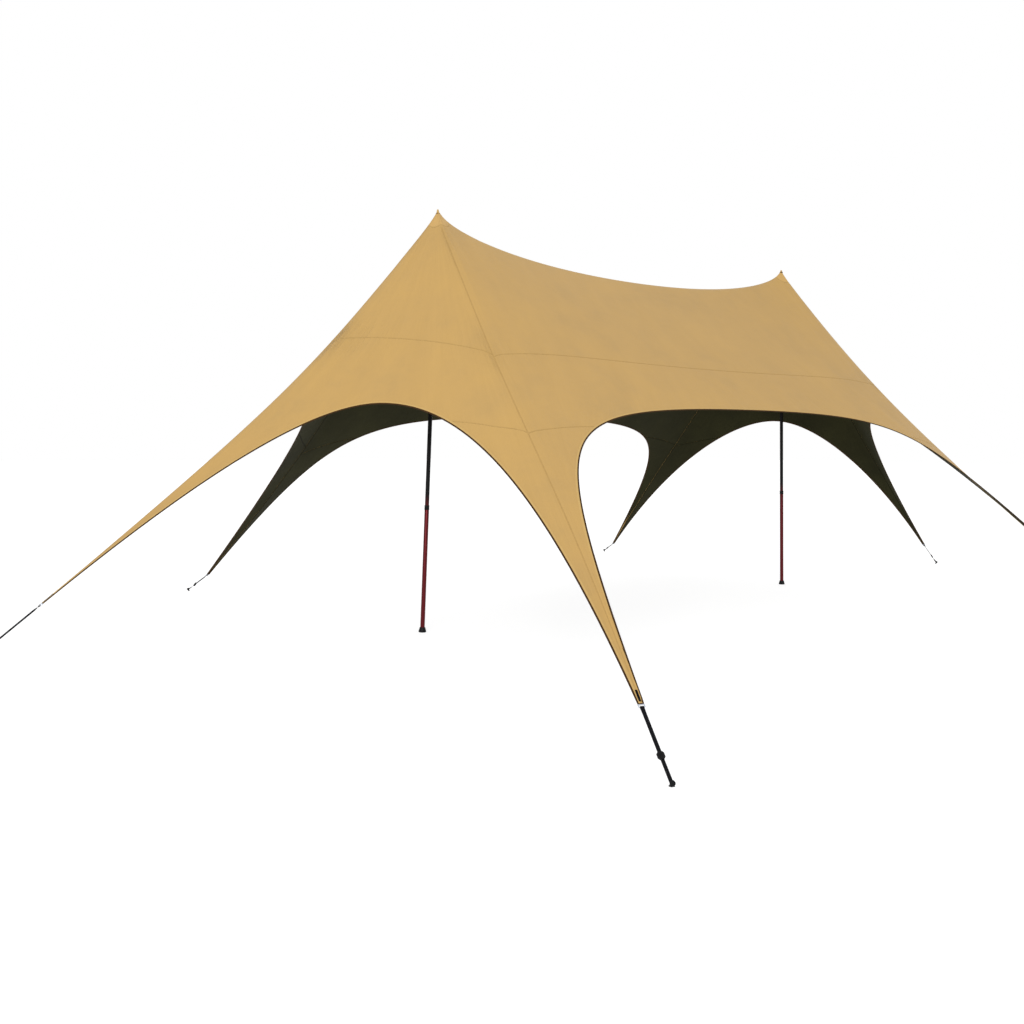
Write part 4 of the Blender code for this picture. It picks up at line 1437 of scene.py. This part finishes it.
def buckle_mesh(centre, level):
    """A moulded eight-sided slider with a passage for the strap and two ribs for grip."""
    half_x, half_y, half_z, corner = 0.023, 0.022, 0.007, 0.010
    rim = [(half_x, corner - half_y), (half_x, half_y - corner), (half_x - corner, half_y),
           (corner - half_x, half_y), (-half_x, half_y - corner), (-half_x, corner - half_y),
           (corner - half_x, -half_y), (half_x - corner, -half_y)]
    verts = [(centre + x, y, level + z) for z in (-half_z, half_z) for x, y in rim]
    faces = [tuple(range(8))[::-1], tuple(range(8, 16))]
    faces += [(k, (k + 1) % 8, (k + 1) % 8 + 8, k + 8) for k in range(8)]
    buckle = mesh_object("buckle", verts, faces)
    passage = block("passage", (0.06, 0.0275, 0.0075), (centre, 0.0, level), 0.0)
    cut = buckle.modifiers.new("passage", "BOOLEAN")
    cut.operation = "DIFFERENCE"
    cut.object = passage
    cut.solver = "EXACT"
    apply_modifiers(buckle)
    bpy.data.objects.remove(passage, do_unlink=True)
    round_edges(buckle, 0.001, 2)
    ribs = [block("rib", (0.0022, 0.026, 0.0020), (centre + shift, 0.0, level + half_z + 0.0004), 0.0006)
            for shift in (-0.008, 0.0, 0.008)]
    only(buckle)
    for rib in ribs:
        rib.select_set(True)
    bpy.ops.object.join()
    return buckle


class TENT_OT_arm_ends(bpy.types.Operator):
    """Fit each arm's bar, strap, buckle and peg"""
    bl_idname = "tent.arm_ends"
    bl_label = "Arm ends"

    def execute(self, context):
        for arm in ARMS:
            matrix, length, level, start = levels_of(arm)
            buckle_at = length * 0.66
            bar = slotted_bar((0.020, 0.046, 0.006), (start + 0.010, 0.0, level), 0.0055)
            strap = strap_mesh(strap_path(start, length, level, buckle_at))
            buckle = buckle_mesh(buckle_at, level)
            twist(strap, arm, start, length - 0.03, level)
            twist(buckle, arm, start, length - 0.03, level)
            for piece, name, cover, slot, node in (
                    (bar, f"tip_bar_{arm}", satin_metal, "bright_metal", f"tip_ring_{arm}"),
                    (strap, f"arm_strap_{arm}", webbing_cloth, "black_webbing", f"strap_{arm}"),
                    (buckle, f"buckle_{arm}", moulded_plastic, "black_plastic", f"strap_buckle_{arm}")):
                piece.data.transform(matrix)
                smooth(piece, 35.0)
                dress(piece, name, cover(), [node])
            peg = frame["nodes"][f"ground_peg_{arm}"]
            peg.data.materials.clear()
            peg.data.materials.append(moulded_plastic())
        return {"FINISHED"}


# Stage
class TENT_OT_stage(bpy.types.Operator):
    """Lay the pale floor and set the soft lights and the camera"""
    bl_idname = "tent.stage"
    bl_label = "Stage"

    def execute(self, context):
        clear_selection()
        bpy.ops.mesh.primitive_plane_add(size=160.0, location=(0.0, 0.0, 0.0))
        floor = context.object
        floor.name = "studio_floor"
        material, _fresh = new_material("lit studio floor, white")
        shader = shader_of(material)
        shader.inputs["Base Color"].default_value = (0.25, 0.25, 0.25, 1.0)
        shader.inputs["Emission Color"].default_value = (1.0, 1.0, 1.0, 1.0)
        shader.inputs["Emission Strength"].default_value = 0.82
        shader.inputs["Roughness"].default_value = 0.9
        floor.data.materials.append(material)
        world = bpy.data.worlds.get("studio") or bpy.data.worlds.new("studio")
        world.use_nodes = True
        world.node_tree.nodes["Background"].inputs["Color"].default_value = (1.0, 1.0, 1.0, 1.0)
        world.node_tree.nodes["Background"].inputs["Strength"].default_value = 1.0
        context.scene.world = world
        context.scene.view_settings.view_transform = "Standard"
        for name, place, size, power in (
                ("key_light", (-14.0, -12.0, 9.0), 7.0, 1500.0),
                ("fill_light", (10.0, -16.0, 9.0), 10.0, 250.0)):
            data = bpy.data.lights.new(name, "AREA")
            data.size = size
            data.energy = power
            lamp = bpy.data.objects.new(name, data)
            lamp.location = place
            aim = Vector((0.0, 0.0, 1.5)) - Vector(place)
            lamp.rotation_euler = aim.to_track_quat("-Z", "Y").to_euler()
            context.scene.collection.objects.link(lamp)
        turn, tilt, roll = 0.621, -0.0754, 0.005
        ahead = Vector((math.sin(turn) * math.cos(tilt), math.cos(turn) * math.cos(tilt), math.sin(tilt)))
        right = Vector((math.cos(turn), -math.sin(turn), 0.0))
        up = right.cross(ahead)
        rolled_right = math.cos(roll) * right + math.sin(roll) * up
        rolled_up = -math.sin(roll) * right + math.cos(roll) * up
        matrix = Matrix((rolled_right, rolled_up, -ahead)).transposed().to_4x4()
        matrix.translation = Vector(MIDDLE) + Vector((-7.0524, -7.5685, 1.819))
        data = bpy.data.cameras.new("photo_camera")
        data.sensor_width = 36.0
        data.lens = 914.834 / 1024.0 * 36.0
        data.clip_end = 500.0
        camera = bpy.data.objects.new("photo_camera", data)
        camera.matrix_world = matrix
        context.scene.collection.objects.link(camera)
        context.scene.camera = camera
        return {"FINISHED"}


class TENT_PT_panel(bpy.types.Panel):
    """Every step of the tent, in the order in which it is made"""
    bl_label = "Canopy Tent"
    bl_idname = "TENT_PT_panel"
    bl_space_type = "VIEW_3D"
    bl_region_type = "UI"
    bl_category = "Tent"

    def draw(self, context):
        for step in STEPS:
            self.layout.operator(step.bl_idname)
        for group in (context.scene.tent_sizes, context.scene.tent_colours):
            for name in group.__annotations__:
                self.layout.prop(group, name)


STEPS = (TENT_OT_stage, TENT_OT_canopy, TENT_OT_seams, TENT_OT_hems, TENT_OT_poles, TENT_OT_arm_ends)
CLASSES = (TentSizes, TentColours) + STEPS + (TENT_PT_panel,)


def register():
    for item in CLASSES:
        bpy.utils.register_class(item)
    bpy.types.Scene.tent_sizes = PointerProperty(type=TentSizes)
    bpy.types.Scene.tent_colours = PointerProperty(type=TentColours)


def unregister():
    del bpy.types.Scene.tent_colours
    del bpy.types.Scene.tent_sizes
    for item in reversed(CLASSES):
        bpy.utils.unregister_class(item)


def main():
    register()
    bpy.ops.tent.stage()
    bpy.ops.tent.canopy()
    bpy.ops.tent.seams()
    bpy.ops.tent.hems()
    bpy.ops.tent.poles()
    bpy.ops.tent.arm_ends()


if __name__ == "__main__":
    main()
